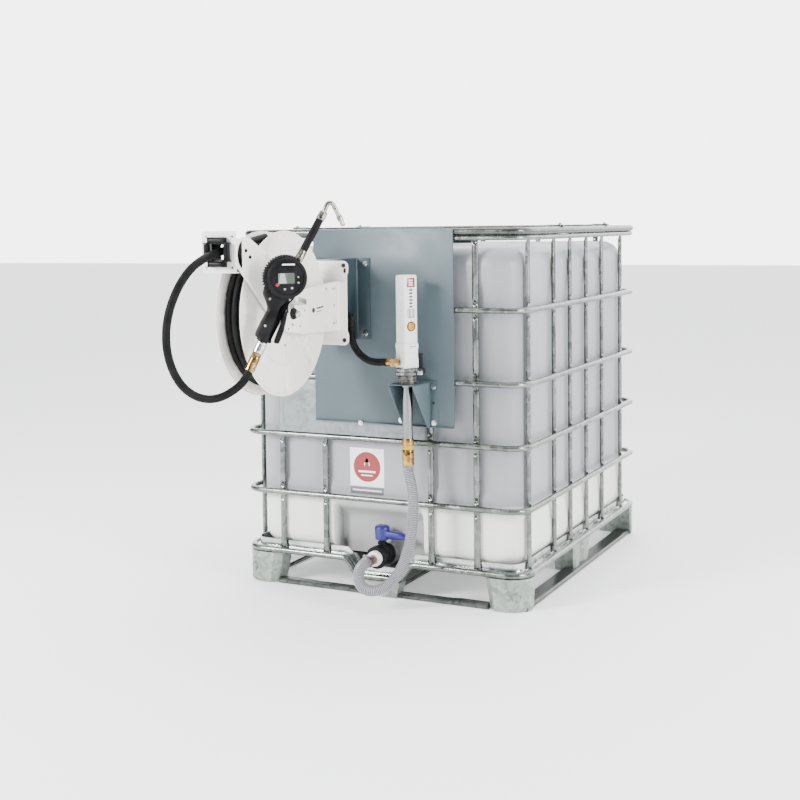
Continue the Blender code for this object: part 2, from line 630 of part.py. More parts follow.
# Pump.
def pump():
    """A square air motor with round corners over a clamp flange, the suction tube and its foot valve."""
    loops = []
    for z, half in ((PUMP_BODY_Z[0], 0.0270), (0.8150, 0.0270), (0.8180, 0.0245),
                    (PUMP_BODY_Z[1] - 0.004, 0.0245),
                    (PUMP_BODY_Z[1], 0.0215)):
        loop = []
        for x, y in rounded_outline(half, half, 0.007, 3):
            loop.append((PUMP_X + x * math.cos(PUMP_TURN) - y * math.sin(PUMP_TURN),
                         PUMP_Y + x * math.sin(PUMP_TURN) + y * math.cos(PUMP_TURN), z))
        loops.append(loop)
    body = finished("pump_body", skin(loops), WHITE_PAINT)
    fitting = turned("pump_inlet", ((0.1025, 0.0095), (0.1180, 0.0095), (0.1180, 0.0120), (0.1450, 0.0120)),
                     (0.0, *PUMP_INLET), (1, 0, 0), 12, BRASS)
    joined(body, "UNION", fitting)
    shelf = PUMP_BRACKET_Z[1] + GAP
    profile = ((SUCTION_TUBE_BOTTOM, 0.0150), (SUCTION_TUBE_BOTTOM + 0.002, 0.0175),
               (SUCTION_END_TOP, 0.0175),
               (SUCTION_END_TOP + GAP, SUCTION_TUBE_RADIUS), (shelf, SUCTION_TUBE_RADIUS), (shelf, 0.0290),
               (0.7200, 0.0290), (0.7200, FLANGE_RADIUS), (PUMP_BODY_Z[0] - GAP, FLANGE_RADIUS))
    turned("suction_tube", profile, (PUMP_X, PUMP_Y, 0.0), (0, 0, 1), 16, STEEL)


# Hose reel.
def reel_base():
    """The foot plate, the pedestal with the shaft that the drum turns on, and the cradle for the gun."""
    (x0, x1), (y0, y1), (z0, z1) = REEL_PLATE_X, REEL_PLATE_Y, REEL_PLATE_Z
    plate = block("reel_base", (x0, y0, z0), (x1, y1, z1), WHITE_PAINT)
    rear = y1 - 0.002
    outline = [(rear, 0.850), (rear, 1.003), (-0.900, 0.988), *arc((AXIS_Y, AXIS_Z), 0.055, 90.0, 250.0, 7),
               (-0.930, 0.858)]
    pedestal = prism("reel_pedestal", outline, in_yz, PEDESTAL_X, WHITE_PAINT)
    shaft = turned("reel_shaft", ((-0.1500, SHAFT_RADIUS), (-0.0700, SHAFT_RADIUS)), (0.0, AXIS_Y, AXIS_Z),
                   (1, 0, 0), 16, STEEL)
    cradle_outline = [(-0.0630, -0.9800), (-0.0630, -1.0150), (0.0300, -1.1280), (0.0560, -1.1060)]
    cradle = prism("gun_cradle", cradle_outline, in_xy, CRADLE_Z, STEEL)
    joined(plate, "UNION", pedestal, shaft, cradle)


def reel_drum():
    """Two dished discs on a core that is open on the far side, turning on the shaft."""
    (x0, x1), sheet, rim = DRUM_X, DISC_SHEET, DISC_RADIUS
    bore = SHAFT_RADIUS + 0.0008
    lip = 0.004
    profile = ((x1, bore), (x1, rim - 0.010), (x1 + lip, rim - 0.006), (x1 + lip, rim), (x1 - sheet, rim),
               (x1 - sheet, CORE_RADIUS), (x0 + sheet, CORE_RADIUS), (x0 + sheet, rim), (x0 - lip, rim),
               (x0 - lip, rim - 0.006), (x0, rim - 0.010), (x0, CORE_RADIUS - 0.003),
               (x1 - sheet, CORE_RADIUS - 0.003), (x1 - sheet, 0.025), (-0.1300, 0.025), (-0.1300, bore))
    centre = (0.0, AXIS_Y, AXIS_Z)
    drum = turned("reel_drum", profile, centre, (1, 0, 0), 36, WHITE_PAINT, ring=True)
    wound = ((x0 + sheet + GAP, CORE_RADIUS + GAP), (x0 + sheet + GAP, WOUND_RADIUS),
             (x1 - sheet - GAP, WOUND_RADIUS), (x1 - sheet - GAP, CORE_RADIUS + GAP))
    pack = turned("wound_hose", wound, centre, (1, 0, 0), 36, BLACK_RUBBER, ring=True)
    for piece in (drum, pack):
        move_origin(piece, centre)


def guide_arm():
    """The arm that carries the roller window in front of the drum."""
    outline = [(-1.020, 0.915), (-0.985, 0.940), (-0.985, 1.010), (-1.040, 1.068),
               *arc(ARM_TIP, ARM_TIP_RADIUS, 64.0, 225.0, 7), (-1.075, 0.915)]
    arm = prism("guide_arm", outline, in_yz, ARM_X, WHITE_PAINT)
    half = ROLLER_PLATE_HALF
    front, back = ROLLER_Y + 0.011, ROLLER_Y + 0.014
    plate = block("roller_plate", (ROLLER_X - half, front, ROLLER_Z - half - 0.003),
                  (ROLLER_X + half, back, ROLLER_Z + half), WHITE_PAINT)
    tab = block("roller_plate_tab", (ARM_X[0], front + 0.001, 1.060), (ARM_X[1], -1.225, 1.135), WHITE_PAINT)
    joined(arm, "UNION", tab, plate)
    reach = ROLLER_OFFSET - ROLLER_RADIUS
    window = block("roller_window", (ROLLER_X - reach, front - 0.010, ROLLER_Z - reach),
                   (ROLLER_X + reach, back + 0.010, ROLLER_Z + reach), WHITE_PAINT)
    joined(arm, "DIFFERENCE", window)


def guide_rollers():
    half = 0.5 * ROLLER_LENGTH
    profile = ((-half, ROLLER_RADIUS - 0.001), (-half + 0.001, ROLLER_RADIUS), (half - 0.001, ROLLER_RADIUS),
               (half, ROLLER_RADIUS - 0.001))
    for name, axis, x, z in (("guide_roller_top", (1, 0, 0), 0.0, ROLLER_OFFSET),
                             ("guide_roller_bottom", (1, 0, 0), 0.0, -ROLLER_OFFSET),
                             ("guide_roller_left", (0, 0, 1), -ROLLER_OFFSET, 0.0),
                             ("guide_roller_right", (0, 0, 1), ROLLER_OFFSET, 0.0)):
        centre = (ROLLER_X + x, ROLLER_Y, ROLLER_Z + z)
        move_origin(turned(name, profile, centre, axis, 12, BLACK_PLASTIC), centre)


# Dispensing gun.
def planar_tube(name, stations, sides, look):
    """A round tube in the gun's plane through (h, z, radius) stations."""
    places = [Vector((h, z)) for h, z, _ in stations]
    loops = []
    for i, (h, z, radius) in enumerate(stations):
        along = (places[min(i + 1, len(places) - 1)] - places[max(i - 1, 0)]).normalized()
        spokes = [2.0 * math.pi * (k + 0.5) / sides for k in range(sides)]
        loops.append([in_gun(h - radius * math.cos(t) * along.y, z + radius * math.cos(t) * along.x,
                             radius * math.sin(t)) for t in spokes])
    return finished(name, skin(loops), look)


def gun_body():
    """Handle, meter housing and the trigger's two cheeks in one casting."""
    meter = prism("gun_body", arc((0.0, 0.0), METER_RADIUS, 0.0, 345.0, 23), in_gun, METER_DEPTH,
                  BLACK_PLASTIC)
    outline = [(-0.0830, -0.1550), (-0.0440, -0.1780), (-0.0400, -0.1480), (-0.0320, -0.1200),
               (-0.0230, -0.0950), (-0.0180, -0.0780), (0.0100, -0.0700), (0.0260, -0.0560),
               (0.0260, -0.0380), (-0.0500, -0.0200), (-0.0600, -0.0400), (-0.0540, -0.0560),
               (-0.0470, -0.0820), (-0.0580, -0.1020), (-0.0720, -0.1250)]
    handle = prism("gun_handle", outline, in_gun, (-0.016, 0.016), BLACK_PLASTIC)
    cheek = [(-0.0300, -0.0650), (0.0060, -0.0680), (0.0080, -0.0960), (-0.0060, -0.1000),
             (-0.0300, -0.0960)]
    cheeks = [prism(f"trigger_cheek_{side}", cheek, in_gun, depth, BLACK_PLASTIC)
              for side, depth in (("front", (0.0078, 0.0125)), ("back", (-0.0125, -0.0078)))]
    joined(meter, "UNION", handle, *cheeks)
    pocket = arc(BUTTON_PLACE, BUTTON_RADIUS + 0.0005, 0.0, 330.0, 11)
    pocket_depth = (METER_DEPTH[1] - 0.005, METER_DEPTH[1] + 0.010)
    joined(meter, "DIFFERENCE", prism("button_pocket", pocket, in_gun, pocket_depth, BLACK_PLASTIC))


def gun_controls():
    outline = [(0.0040, -0.0830), (0.0070, -0.0930), (0.0010, -0.1250), (-0.0090, -0.1550),
               (-0.0200, -0.1780), (-0.0300, -0.1790), (-0.0300, -0.1720), (-0.0190, -0.1500),
               (-0.0095, -0.1220), (-0.0050, -0.0930), (-0.0060, -0.0830)]
    trigger = prism("gun_trigger", outline, in_gun, (-0.0070, 0.0070), BLACK_PLASTIC)
    move_origin(trigger, in_gun(*TRIGGER_PIVOT, 0.0))
    button = prism("meter_button", arc(BUTTON_PLACE, BUTTON_RADIUS, 0.0, 330.0, 11), in_gun,
                   (METER_DEPTH[1] - 0.0025, METER_DEPTH[1] + 0.0022), RED_PLASTIC)
    move_origin(button, in_gun(*BUTTON_PLACE, METER_DEPTH[1]))


def gun_ends():
    """The swivel that the hose screws into, and the spout with its bent steel end."""
    along = Vector((0.447, 0.894)).normalized()
    foot = Vector((-0.1030, -0.2510))
    swivel_profile = ((0.0005, 0.0120), (0.0010, 0.0140), (0.0480, 0.0140), (0.0485, 0.0105),
                      (0.0540, 0.0105), (0.0545, 0.0150), (0.0840, 0.0150), (0.0870, 0.0130))
    stations = [(*(foot + along * distance), radius) for distance, radius in swivel_profile]
    planar_tube("gun_swivel", stations, 14, BRASS)
    straight = Vector((0.497, 0.868)).normalized()
    start = Vector((0.0386, 0.0455))
    profile = ((0.0, 0.0115), (0.0330, 0.0115), (0.0335, 0.0108), (0.1290, 0.0108), (0.1295, 0.0122),
               (0.1540, 0.0122), (0.1545, 0.0070), (0.1600, 0.0066))
    stations = [(*(start + straight * distance), radius) for distance, radius in profile]
    stations += [(0.1220, 0.1945, 0.0064), (0.1270, 0.2010, 0.0064), (0.1330, 0.2030, 0.0064),
                 (0.1390, 0.2000, 0.0064), (0.1450, 0.1900, 0.0064), (0.1560, 0.1680, 0.0064),
                 (0.1562, 0.1676, 0.0078), (0.1640, 0.1520, 0.0078), (0.1642, 0.1516, 0.0066),
                 (0.1705, 0.1390, 0.0062)]
    planar_tube("gun_spout", stations, 12, STEEL)


def hoses():
    hose("delivery_hose", DELIVERY_ROUTE, DELIVERY_RADIUS, BLACK_RUBBER)
    hose("feed_hose", FEED_ROUTE, DELIVERY_RADIUS, BLACK_RUBBER)
    hose("suction_hose", SUCTION_ROUTE, SUCTION_RADIUS, GREY_PVC)


pallet_pan()
pallet_base()
cage_rings()
cage_bars()
cage_crossbars()
bottle()
filler_cap()
outlet_valve()
wall_plate()
label_plate()
reel_bracket()
pump_bracket()
pump()
reel_base()
reel_drum()
guide_arm()
guide_rollers()
gun_body()
gun_controls()
gun_ends()
hoses()
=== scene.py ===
"""Looks of a caged bulk container on its steel pallet, with a hose reel, a dispensing gun and a pump on its front."""

import math

import bmesh
import bpy
from mathutils import Euler, Matrix, Vector


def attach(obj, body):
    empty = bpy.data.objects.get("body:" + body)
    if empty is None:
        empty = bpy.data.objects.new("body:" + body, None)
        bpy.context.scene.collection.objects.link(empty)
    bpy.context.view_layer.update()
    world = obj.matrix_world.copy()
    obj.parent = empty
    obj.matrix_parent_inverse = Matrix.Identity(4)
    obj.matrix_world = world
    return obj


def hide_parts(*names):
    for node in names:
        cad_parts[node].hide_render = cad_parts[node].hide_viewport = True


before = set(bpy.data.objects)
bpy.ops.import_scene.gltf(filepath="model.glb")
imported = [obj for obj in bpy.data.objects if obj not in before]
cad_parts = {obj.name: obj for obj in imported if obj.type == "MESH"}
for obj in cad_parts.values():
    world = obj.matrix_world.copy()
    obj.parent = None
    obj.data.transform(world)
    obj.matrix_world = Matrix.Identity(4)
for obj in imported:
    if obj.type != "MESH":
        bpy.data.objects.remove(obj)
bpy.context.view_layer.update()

# The floor, the light and the camera. A wide pale floor runs back under the container, two large soft
# boxes stand left and right of the camera, and one hangs overhead.
scene = bpy.context.scene


def principled(name, colour, roughness, metallic=0.0, **sockets):
    """A material with one principled shader; extra sockets are given with _ for each space in their names."""
    material = bpy.data.materials.new(name)
    material.use_nodes = True
    shader = material.node_tree.nodes["Principled BSDF"]
    shader.inputs["Base Color"].default_value = (*colour, 1.0)
    shader.inputs["Roughness"].default_value = roughness
    shader.inputs["Metallic"].default_value = metallic
    for socket, value in sockets.items():
        shader.inputs[socket.replace("_", " ")].default_value = value
    return material, material.node_tree.nodes, material.node_tree.links, shader


def added(nodes, kind, inputs=None, **settings):
    """A node with its settings, and its inputs by name or number: each a plain value or a socket to link from."""
    node = nodes.new(kind if "Node" in kind else "ShaderNode" + kind)
    for name, value in settings.items():
        setattr(node, name, value)
    for key, value in (inputs or {}).items():
        if isinstance(value, bpy.types.NodeSocket):
            nodes.id_data.links.new(value, node.inputs[key])
        else:
            node.inputs[key].default_value = value
    return node


def ramp(nodes, source, *steps):
    """A colour ramp fed by a socket; each step is a place from 0 to 1 and its colour."""
    made = added(nodes, "ValToRGB", {"Fac": source})
    colours = made.color_ramp.elements
    for number, (place, colour) in enumerate(steps):
        step = colours[number] if number < 2 else colours.new(place)
        step.position, step.color = place, (*colour, 1.0)
    return made


def fed(shader, **sources):
    """Links sockets to the shader's inputs; each is given with _ for the space in its name."""
    for name, source in sources.items():
        shader.id_data.links.new(source, shader.inputs[name.replace("_", " ")])


floor_mesh = bpy.data.meshes.new("floor")
floor_mesh.from_pydata([(-30, -30, 0), (30, -30, 0), (30, 30, 0), (-30, 30, 0)], [], [(0, 1, 2, 3)])
floor = bpy.data.objects.new("floor", floor_mesh)
scene.collection.objects.link(floor)
floor.data.materials.append(principled("pale_floor", (0.90, 0.90, 0.90), 0.75,
    Emission_Color=(1.0, 1.0, 1.0, 1.0), Emission_Strength=0.36)[0])

world = bpy.data.worlds.new("studio")
scene.world = world
world.use_nodes = True
sky_nodes, sky_links = world.node_tree.nodes, world.node_tree.links
sky_place = added(sky_nodes, "TexCoord")
sky_split = added(sky_nodes, "SeparateXYZ", {0: sky_place.outputs["Generated"]})
sky_shade = ramp(sky_nodes, sky_split.outputs["Z"], (0.0, (0.10, 0.105, 0.11)), (0.9, (0.30, 0.31, 0.32)))
for position, grey in ((0.10, 0.10), (0.20, 0.02), (0.45, 0.03), (0.60, 0.22)):
    sky_shade.color_ramp.elements.new(position).color = (grey, grey, grey * 1.03, 1.0)
behind = added(sky_nodes, "MapRange", {"From Min": 0.30, "From Max": 0.60, "Value": sky_split.outputs["Y"]},
    interpolation_type="SMOOTHSTEP")
backdrop = added(sky_nodes, "Mix", {"B": (1.0, 1.0, 1.0, 1.0), "Factor": behind.outputs["Result"],
    "A": sky_shade.outputs["Color"]}, data_type="RGBA")
sky_links.new(backdrop.outputs["Result"], sky_nodes["Background"].inputs["Color"])
sky_nodes["Background"].inputs["Strength"].default_value = 5.2


def soft_box(name, place, aim, size, power, tint=(1.0, 1.0, 1.0)):
    lamp = bpy.data.lights.new(name, "AREA")
    lamp.shape = "RECTANGLE"
    lamp.size, lamp.size_y = size
    lamp.energy = power
    lamp.color = tint
    holder = bpy.data.objects.new(name, lamp)
    holder.location = place
    holder.rotation_euler = (Vector(aim) - Vector(place)).to_track_quat("-Z", "Y").to_euler()
    scene.collection.objects.link(holder)


soft_box("key_box", (-2.6, -4.6, 2.6), (0.0, -0.3, 0.55), (1.2, 1.5), 520.0)
soft_box("side_box", (4.4, -1.6, 2.0), (0.2, 0.0, 0.6), (1.0, 2.4), 270.0)
soft_box("top_box", (0.0, 0.2, 4.2), (0.0, 0.0, 0.9), (3.0, 3.0), 90.0)

camera = bpy.data.objects.new("camera", bpy.data.cameras.new("camera"))
YAW, PITCH, ROLL = -0.4604, -0.0636, -0.0121
camera.location = (1.8524, -4.1887, 1.1742)
turned = Euler((math.pi / 2 + PITCH, 0.0, -YAW), "XYZ").to_matrix() @ Matrix.Rotation(ROLL, 3, "Z")
camera.rotation_euler = turned.to_euler()
camera.data.lens = 58.5
camera.data.sensor_width = 36.0
camera.data.shift_x = 0.007
camera.data.shift_y = -0.1165
scene.collection.objects.link(camera)
scene.camera = camera

# The three hoses. Two are black rubber with a cloth-wrapped cover, from the reel to the gun and from the reel's
# elbow to the pump; the third is clear ribbed suction hose from the outlet valve to the pump's tube.
DELIVERY_ROUTE = ((-0.126, -1.0245, 1.1413), (-0.126, -1.080, 1.1330), (-0.126, -1.140, 1.1230),
    (-0.126, -1.200, 1.1130), (-0.126, -1.256, 1.1040), (-0.126, -1.300, 1.0960), (-0.127, -1.340, 1.0845),
    (-0.131, -1.376, 1.0670), (-0.138, -1.408, 1.0380), (-0.147, -1.432, 1.0000), (-0.156, -1.449, 0.9520),
    (-0.161, -1.456, 0.9000), (-0.161, -1.452, 0.8480), (-0.156, -1.436, 0.7990), (-0.147, -1.410, 0.7580),
    (-0.134, -1.376, 0.7300), (-0.119, -1.338, 0.7160), (-0.104, -1.301, 0.7165), (-0.091, -1.270, 0.7270),
    (-0.078, -1.245, 0.7430), (-0.0675, -1.2295, 0.7621), (-0.0611, -1.2231, 0.7801),)
FEED_ROUTE = ((-0.0365, -0.6800, 0.8640), (-0.0365, -0.6800, 0.8480), (-0.0345, -0.6815, 0.8280),
    (-0.0280, -0.6840, 0.8090), (-0.0170, -0.6880, 0.7930), (-0.0020, -0.6930, 0.7795),
    (0.0160, -0.6990, 0.7690), (0.0360, -0.7060, 0.7620), (0.0560, -0.7120, 0.7590),
    (0.0740, -0.7160, 0.7590), (0.0900, -0.7180, 0.7600), (0.1018, -0.7180, 0.7600),)
SUCTION_ROUTE = ((0.0000, -0.6660, 0.1260), (0.0000, -0.6780, 0.1260), (0.0000, -0.6980, 0.1235),
    (0.0025, -0.7230, 0.1130), (0.0100, -0.7420, 0.0960), (0.0240, -0.7530, 0.0790),
    (0.0430, -0.7570, 0.0690), (0.0660, -0.7550, 0.0670), (0.0900, -0.7470, 0.0740),
    (0.1120, -0.7350, 0.0900), (0.1300, -0.7220, 0.1140), (0.1450, -0.7100, 0.1450),
    (0.1570, -0.7000, 0.1850), (0.1660, -0.6940, 0.2300), (0.1710, -0.6900, 0.2800),
    (0.1720, -0.6880, 0.3300), (0.1685, -0.6865, 0.3750), (0.1610, -0.6855, 0.4050),
    (0.1550, -0.6850, 0.4300), (0.1550, -0.6850, 0.4445),)


def smooth_path(route, step):
    """Points every step metres along a smooth curve through the route."""
    corners = [Vector(point) for point in route]
    ends = [2.0 * corners[0] - corners[1], *corners, 2.0 * corners[-1] - corners[-2]]
    fine = []
    for before, start, end, after in zip(ends, ends[1:], ends[2:], ends[3:]):
        for i in range(24):
            t = i / 24
            fine.append(0.5 * (2.0 * start + (end - before) * t
                + (2.0 * before - 5.0 * start + 4.0 * end - after) * t * t
                + (3.0 * start - before - 3.0 * end + after) * t * t * t))
    fine.append(corners[-1])
    run = [0.0]
    for a, b in zip(fine, fine[1:]):
        run.append(run[-1] + (b - a).length)
    count = max(2, round(run[-1] / step))
    points, k = [], 0
    for i in range(count + 1):
        want = run[-1] * i / count
        while k < len(run) - 2 and run[k + 1] < want:
            k += 1
        share = (want - run[k]) / max(1e-9, run[k + 1] - run[k])
        points.append(fine[k].lerp(fine[k + 1], min(1.0, share)))
    return points, run[-1]


def piece(name, parts, material, body="container", stands_for=(), angle=35.0):
    """One object from several bodies, smooth except where faces meet at more than the angle, riding on its body."""
    whole = bmesh.new()
    for part in parts:
        step = bpy.data.meshes.new("step")
        part.to_mesh(step)
        part.free()
        whole.from_mesh(step)
        bpy.data.meshes.remove(step)
    mesh = bpy.data.meshes.new(name)
    whole.to_mesh(mesh)
    whole.free()
    mesh.shade_smooth()
    mesh.set_sharp_from_angle(angle=math.radians(angle))
    mesh.materials.append(material)
    made = bpy.data.objects.new(name, mesh)
    scene.collection.objects.link(made)
    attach(made, body)
    if stands_for:
        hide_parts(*stands_for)
    return made


def tube(points, radius, sides, closed=False):
    """A round tube along points, with a UV map in metres; radius is a number or a function of the run in metres."""
    mesh_data = bmesh.new()
    uv = mesh_data.loops.layers.uv.new("along")
    last = len(points) - 1
    heading = [(points[min(i + 1, last)] - points[max(i - 1, 0)]).normalized() for i in range(last + 1)]
    if closed:
        heading[0] = heading[-1] = (points[1] - points[-2]).normalized()
    side = heading[0].orthogonal().normalized()
    rows, runs, run = [], [], 0.0
    for i, point in enumerate(points):
        if i:
            run += (point - points[i - 1]).length
            side = (side - heading[i] * side.dot(heading[i])).normalized()
        if closed and i == last:
            rows.append(rows[0])
            runs.append(run)
            break
        third = heading[i].cross(side)
        size = radius(run) if callable(radius) else radius
        rows.append([mesh_data.verts.new(point + size
            * (math.cos(2 * math.pi * k / sides) * side + math.sin(2 * math.pi * k / sides) * third))
            for k in range(sides)])
        runs.append(run)
    for i, (low, high) in enumerate(zip(rows, rows[1:])):
        for k in range(sides):
            j = (k + 1) % sides
            face = mesh_data.faces.new((low[k], low[j], high[j], high[k]))
            for loop, (u, v) in zip(face.loops, ((k, i), (k + 1, i), (k + 1, i + 1), (k, i + 1))):
                loop[uv].uv = (u / sides, runs[v])
    if not closed:
        mesh_data.faces.new(rows[0][::-1])
        mesh_data.faces.new(rows[-1])
    bmesh.ops.recalc_face_normals(mesh_data, faces=mesh_data.faces)
    return mesh_data


def rubber_cover(name):
    """Black hose cover: the cross-hatch that its cloth wrapping leaves, with patches of dust."""
    material, nodes, links, shader = principled(name, (0.006, 0.006, 0.006), 0.55, Specular_IOR_Level=0.08)
    place = added(nodes, "UVMap", uv_map="along")
    heights = []
    for lean in (1.0, -1.0):
        turn = added(nodes, "Mapping", {"Scale": (7.0, 230.0, 1.0), "Rotation": (0.0, 0.0, 0.35 * lean),
            "Vector": place.outputs["UV"]})
        wave = added(nodes, "TexWave", {"Scale": 1.0, "Distortion": 0.4, "Vector": turn.outputs["Vector"]})
        heights.append(wave.outputs["Fac"])
    both = added(nodes, "Math", {0: heights[0], 1: heights[1]}, operation="MAXIMUM")
    bump = added(nodes, "Bump", {"Strength": 0.35, "Distance": 0.0004, "Height": both.outputs[0]})
    where = added(nodes, "TexCoord")
    dust = added(nodes, "TexNoise", {"Scale": 28.0, "Detail": 6.0, "Vector": where.outputs["Object"]})
    tone = ramp(nodes, dust.outputs["Fac"], (0.40, (0.004, 0.004, 0.0045)), (0.75, (0.011, 0.011, 0.0105)))
    gloss = added(nodes, "MapRange", {"To Min": 0.42, "To Max": 0.70, "Value": dust.outputs["Fac"]})
    fed(shader, Normal=bump.outputs["Normal"], Base_Color=tone.outputs["Color"],
        Roughness=gloss.outputs["Result"])
    return material


HOSE_RADIUS = 0.011
hose_rubber = rubber_cover("hose_rubber")
for name, route in (("delivery_hose_cover", DELIVERY_ROUTE), ("feed_hose_cover", FEED_ROUTE)):
    path, length = smooth_path(route, 0.006)
    hose = piece(name, [tube(path, HOSE_RADIUS, 24)], hose_rubber, "container", [name.replace("_cover", "")],
        50.0)

SUCTION_RADIUS = 0.0160
RIB_PITCH = 0.0052
RIB_HEIGHT = 0.0012
path, length = smooth_path(SUCTION_ROUTE, RIB_PITCH / 6)
material, nodes, links, shader = principled("ribbed_pvc", (0.35, 0.35, 0.37), 0.28, Transmission_Weight=0.12,
    IOR=1.45, Coat_Weight=0.3)
place = added(nodes, "UVMap", uv_map="along")
split = added(nodes, "SeparateXYZ", {0: place.outputs["UV"]})
count = added(nodes, "Math", {1: 2 * math.pi / RIB_PITCH, 0: split.outputs["Y"]}, operation="MULTIPLY")
swing = added(nodes, "Math", {0: count.outputs[0]}, operation="COSINE")
share = added(nodes, "MapRange", {"From Min": -1.0, "Value": swing.outputs[0]})
tone = ramp(nodes, share.outputs["Result"], (0.0, (0.085, 0.085, 0.095)), (1.0, (0.42, 0.42, 0.45)))
where = added(nodes, "TexCoord")
blotch = added(nodes, "TexNoise", {"Scale": 90.0, "Vector": where.outputs["Object"]})
mixed = added(nodes, "Mix", {0: 0.30, 6: tone.outputs["Color"], 7: blotch.outputs["Color"]}, data_type="RGBA",
    blend_type="MULTIPLY")
links.new(mixed.outputs[2], shader.inputs["Base Color"])
ribbed = tube(path, lambda run: SUCTION_RADIUS + RIB_HEIGHT * math.cos(2 * math.pi * run / RIB_PITCH), 24)
suction = piece("suction_hose_ribbed", [ribbed], material, "container", ["suction_hose"], 80.0)

# Pallet feet and runners. Each corner foot is a deep-drawn cup of zinc-coated sheet with one big round corner and a
# spot-welded dimple; flat tube runners join the feet along the floor.
HALF_X, HALF_Y, CORNER = 0.500, 0.600, 0.075


def zinc(name, dark, light, roughness=(0.25, 0.45), spangle=55.0, metallic=0.85, streak=(1.0, 1.0, 1.0),
        bump=0.25):
    """Hot-dip zinc: frosted spangles, cloudy tone and a fine ripple."""
    material, nodes, links, shader = principled(name, light, 0.35, metallic)
    where = added(nodes, "TexCoord")
    stretch = added(nodes, "Mapping", {"Scale": streak, "Vector": where.outputs["Object"]})
    cells = added(nodes, "TexVoronoi", {"Scale": spangle, "Vector": stretch.outputs["Vector"]})
    cloud = added(nodes, "TexNoise", {"Scale": 9.0, "Detail": 7.0, "Roughness": 0.62,
        "Vector": stretch.outputs["Vector"]})
    split = added(nodes, "SeparateXYZ", {0: cells.outputs["Color"]})
    blend = added(nodes, "Math", {1: 0.35, 0: split.outputs["X"], 2: cloud.outputs["Fac"]},
        operation="MULTIPLY_ADD")
    tone = ramp(nodes, blend.outputs[0], (0.42, dark), (0.88, light))
    gloss = added(nodes, "MapRange", {"From Min": 0.3, "From Max": 1.0, "To Min": roughness[0],
        "To Max": roughness[1], "Value": blend.outputs[0]})
    ripple = added(nodes, "TexNoise", {"Scale": 140.0, "Detail": 3.0, "Vector": where.outputs["Object"]})
    lift = added(nodes, "Bump", {"Strength": bump, "Distance": 0.0006, "Height": ripple.outputs["Fac"]})
    fed(shader, Base_Color=tone.outputs["Color"], Roughness=gloss.outputs["Result"],
        Normal=lift.outputs["Normal"])
    return material


def arc(centre, radius, start, end, steps):
    """Points of a flat arc, its angles in degrees."""
    turn = [math.radians(start + (end - start) * i / steps) for i in range(steps + 1)]
    return [(centre[0] + radius * math.cos(t), centre[1] + radius * math.sin(t)) for t in turn]


def loft(loops, ends=True, ring=False):
    """A skin over loops of as many points each."""
    mesh_data = bmesh.new()
    rows = [[mesh_data.verts.new(point) for point in loop] for loop in loops]
    pairs = list(zip(rows, rows[1:])) + ([(rows[-1], rows[0])] if ring else [])
    for low, high in pairs:
        for i in range(len(low)):
            j = (i + 1) % len(low)
            mesh_data.faces.new((low[i], low[j], high[j], high[i]))
    if ends and not ring:
        mesh_data.faces.new(rows[0][::-1])
        mesh_data.faces.new(rows[-1])
    bmesh.ops.recalc_face_normals(mesh_data, faces=mesh_data.faces)
    return mesh_data


def slab(outline, place, low, high, bevel=0.0, segments=2):
    """A flat outline made solid between two depths, its sharp edges rounded by bevel."""
    mesh_data = loft([[place(a, b, d) for a, b in outline] for d in (low, high)])
    if bevel:
        sharp = [edge for edge in mesh_data.edges if edge.calc_face_angle(0.0) > math.radians(25.0)]
        bmesh.ops.bevel(mesh_data, geom=sharp, offset=bevel, offset_type="OFFSET", segments=segments,
            profile=0.5, affect="EDGES", clamp_overlap=True)
    return mesh_data


def box(low, high, bevel=0.0, segments=2):
    (x0, y0, z0), (x1, y1, z1) = low, high
    return slab([(x0, y0), (x1, y0), (x1, y1), (x0, y1)], on_z, z0, z1, bevel, segments)


def on_z(x, y, z):
    return (x, y, z)


def on_x(y, z, x):
    return (x, y, z)


def lathe(profile, origin, axis, sides, ends=True, start=0.0):
    """A body turned about an axis from (distance along it, radius) points."""
    axis = Vector(axis).normalized()
    across = axis.orthogonal().normalized()
    third = axis.cross(across)
    loops = []
    for along, radius in profile:
        middle = Vector(origin) + axis * along
        loops.append([middle + radius * (math.cos(t) * across + math.sin(t) * third)
            for t in (start + 2.0 * math.pi * i / sides for i in range(sides))])
    return loft(loops, ends)


def drawn_foot(side, end):
    """Corner foot: tapers a little downwards on its inner faces and has a rolled bottom edge."""
    loops = []
    for z, pull, taper in ((0.1012, 0.0, 0.0), (0.060, 0.0, 0.006), (0.014, 0.0, 0.013),
            (0.005, 0.001, 0.014), (0.0015, 0.003, 0.016), (0.0, 0.007, 0.020)):
        x0, x1 = 0.360 + taper, 0.497 - pull
        y0, y1 = 0.510 + taper, 0.597 - pull
        inner = 0.022
        outline = [(x0, y0 + 0.001), (x0 + 0.001, y0), (x1 - 0.004, y0), (x1, y0 + 0.004),
            *arc((x1 - 0.070, y1 - 0.070), 0.070, 0.0, 90.0, 14), (x0 + inner, y1), (x0, y1 - inner)]
        loops.append([(side * x, end * y, z) for x, y in outline])
    return loft(loops)


foot_zinc = zinc("foot_zinc", (0.16, 0.185, 0.165), (0.34, 0.385, 0.35), (0.32, 0.50), 75.0, 0.60, bump=0.5)
runner_zinc = zinc("runner_zinc", (0.030, 0.032, 0.030), (0.13, 0.14, 0.135), (0.25, 0.50), 60.0, 0.85)
RUNNER_TOP = 0.016


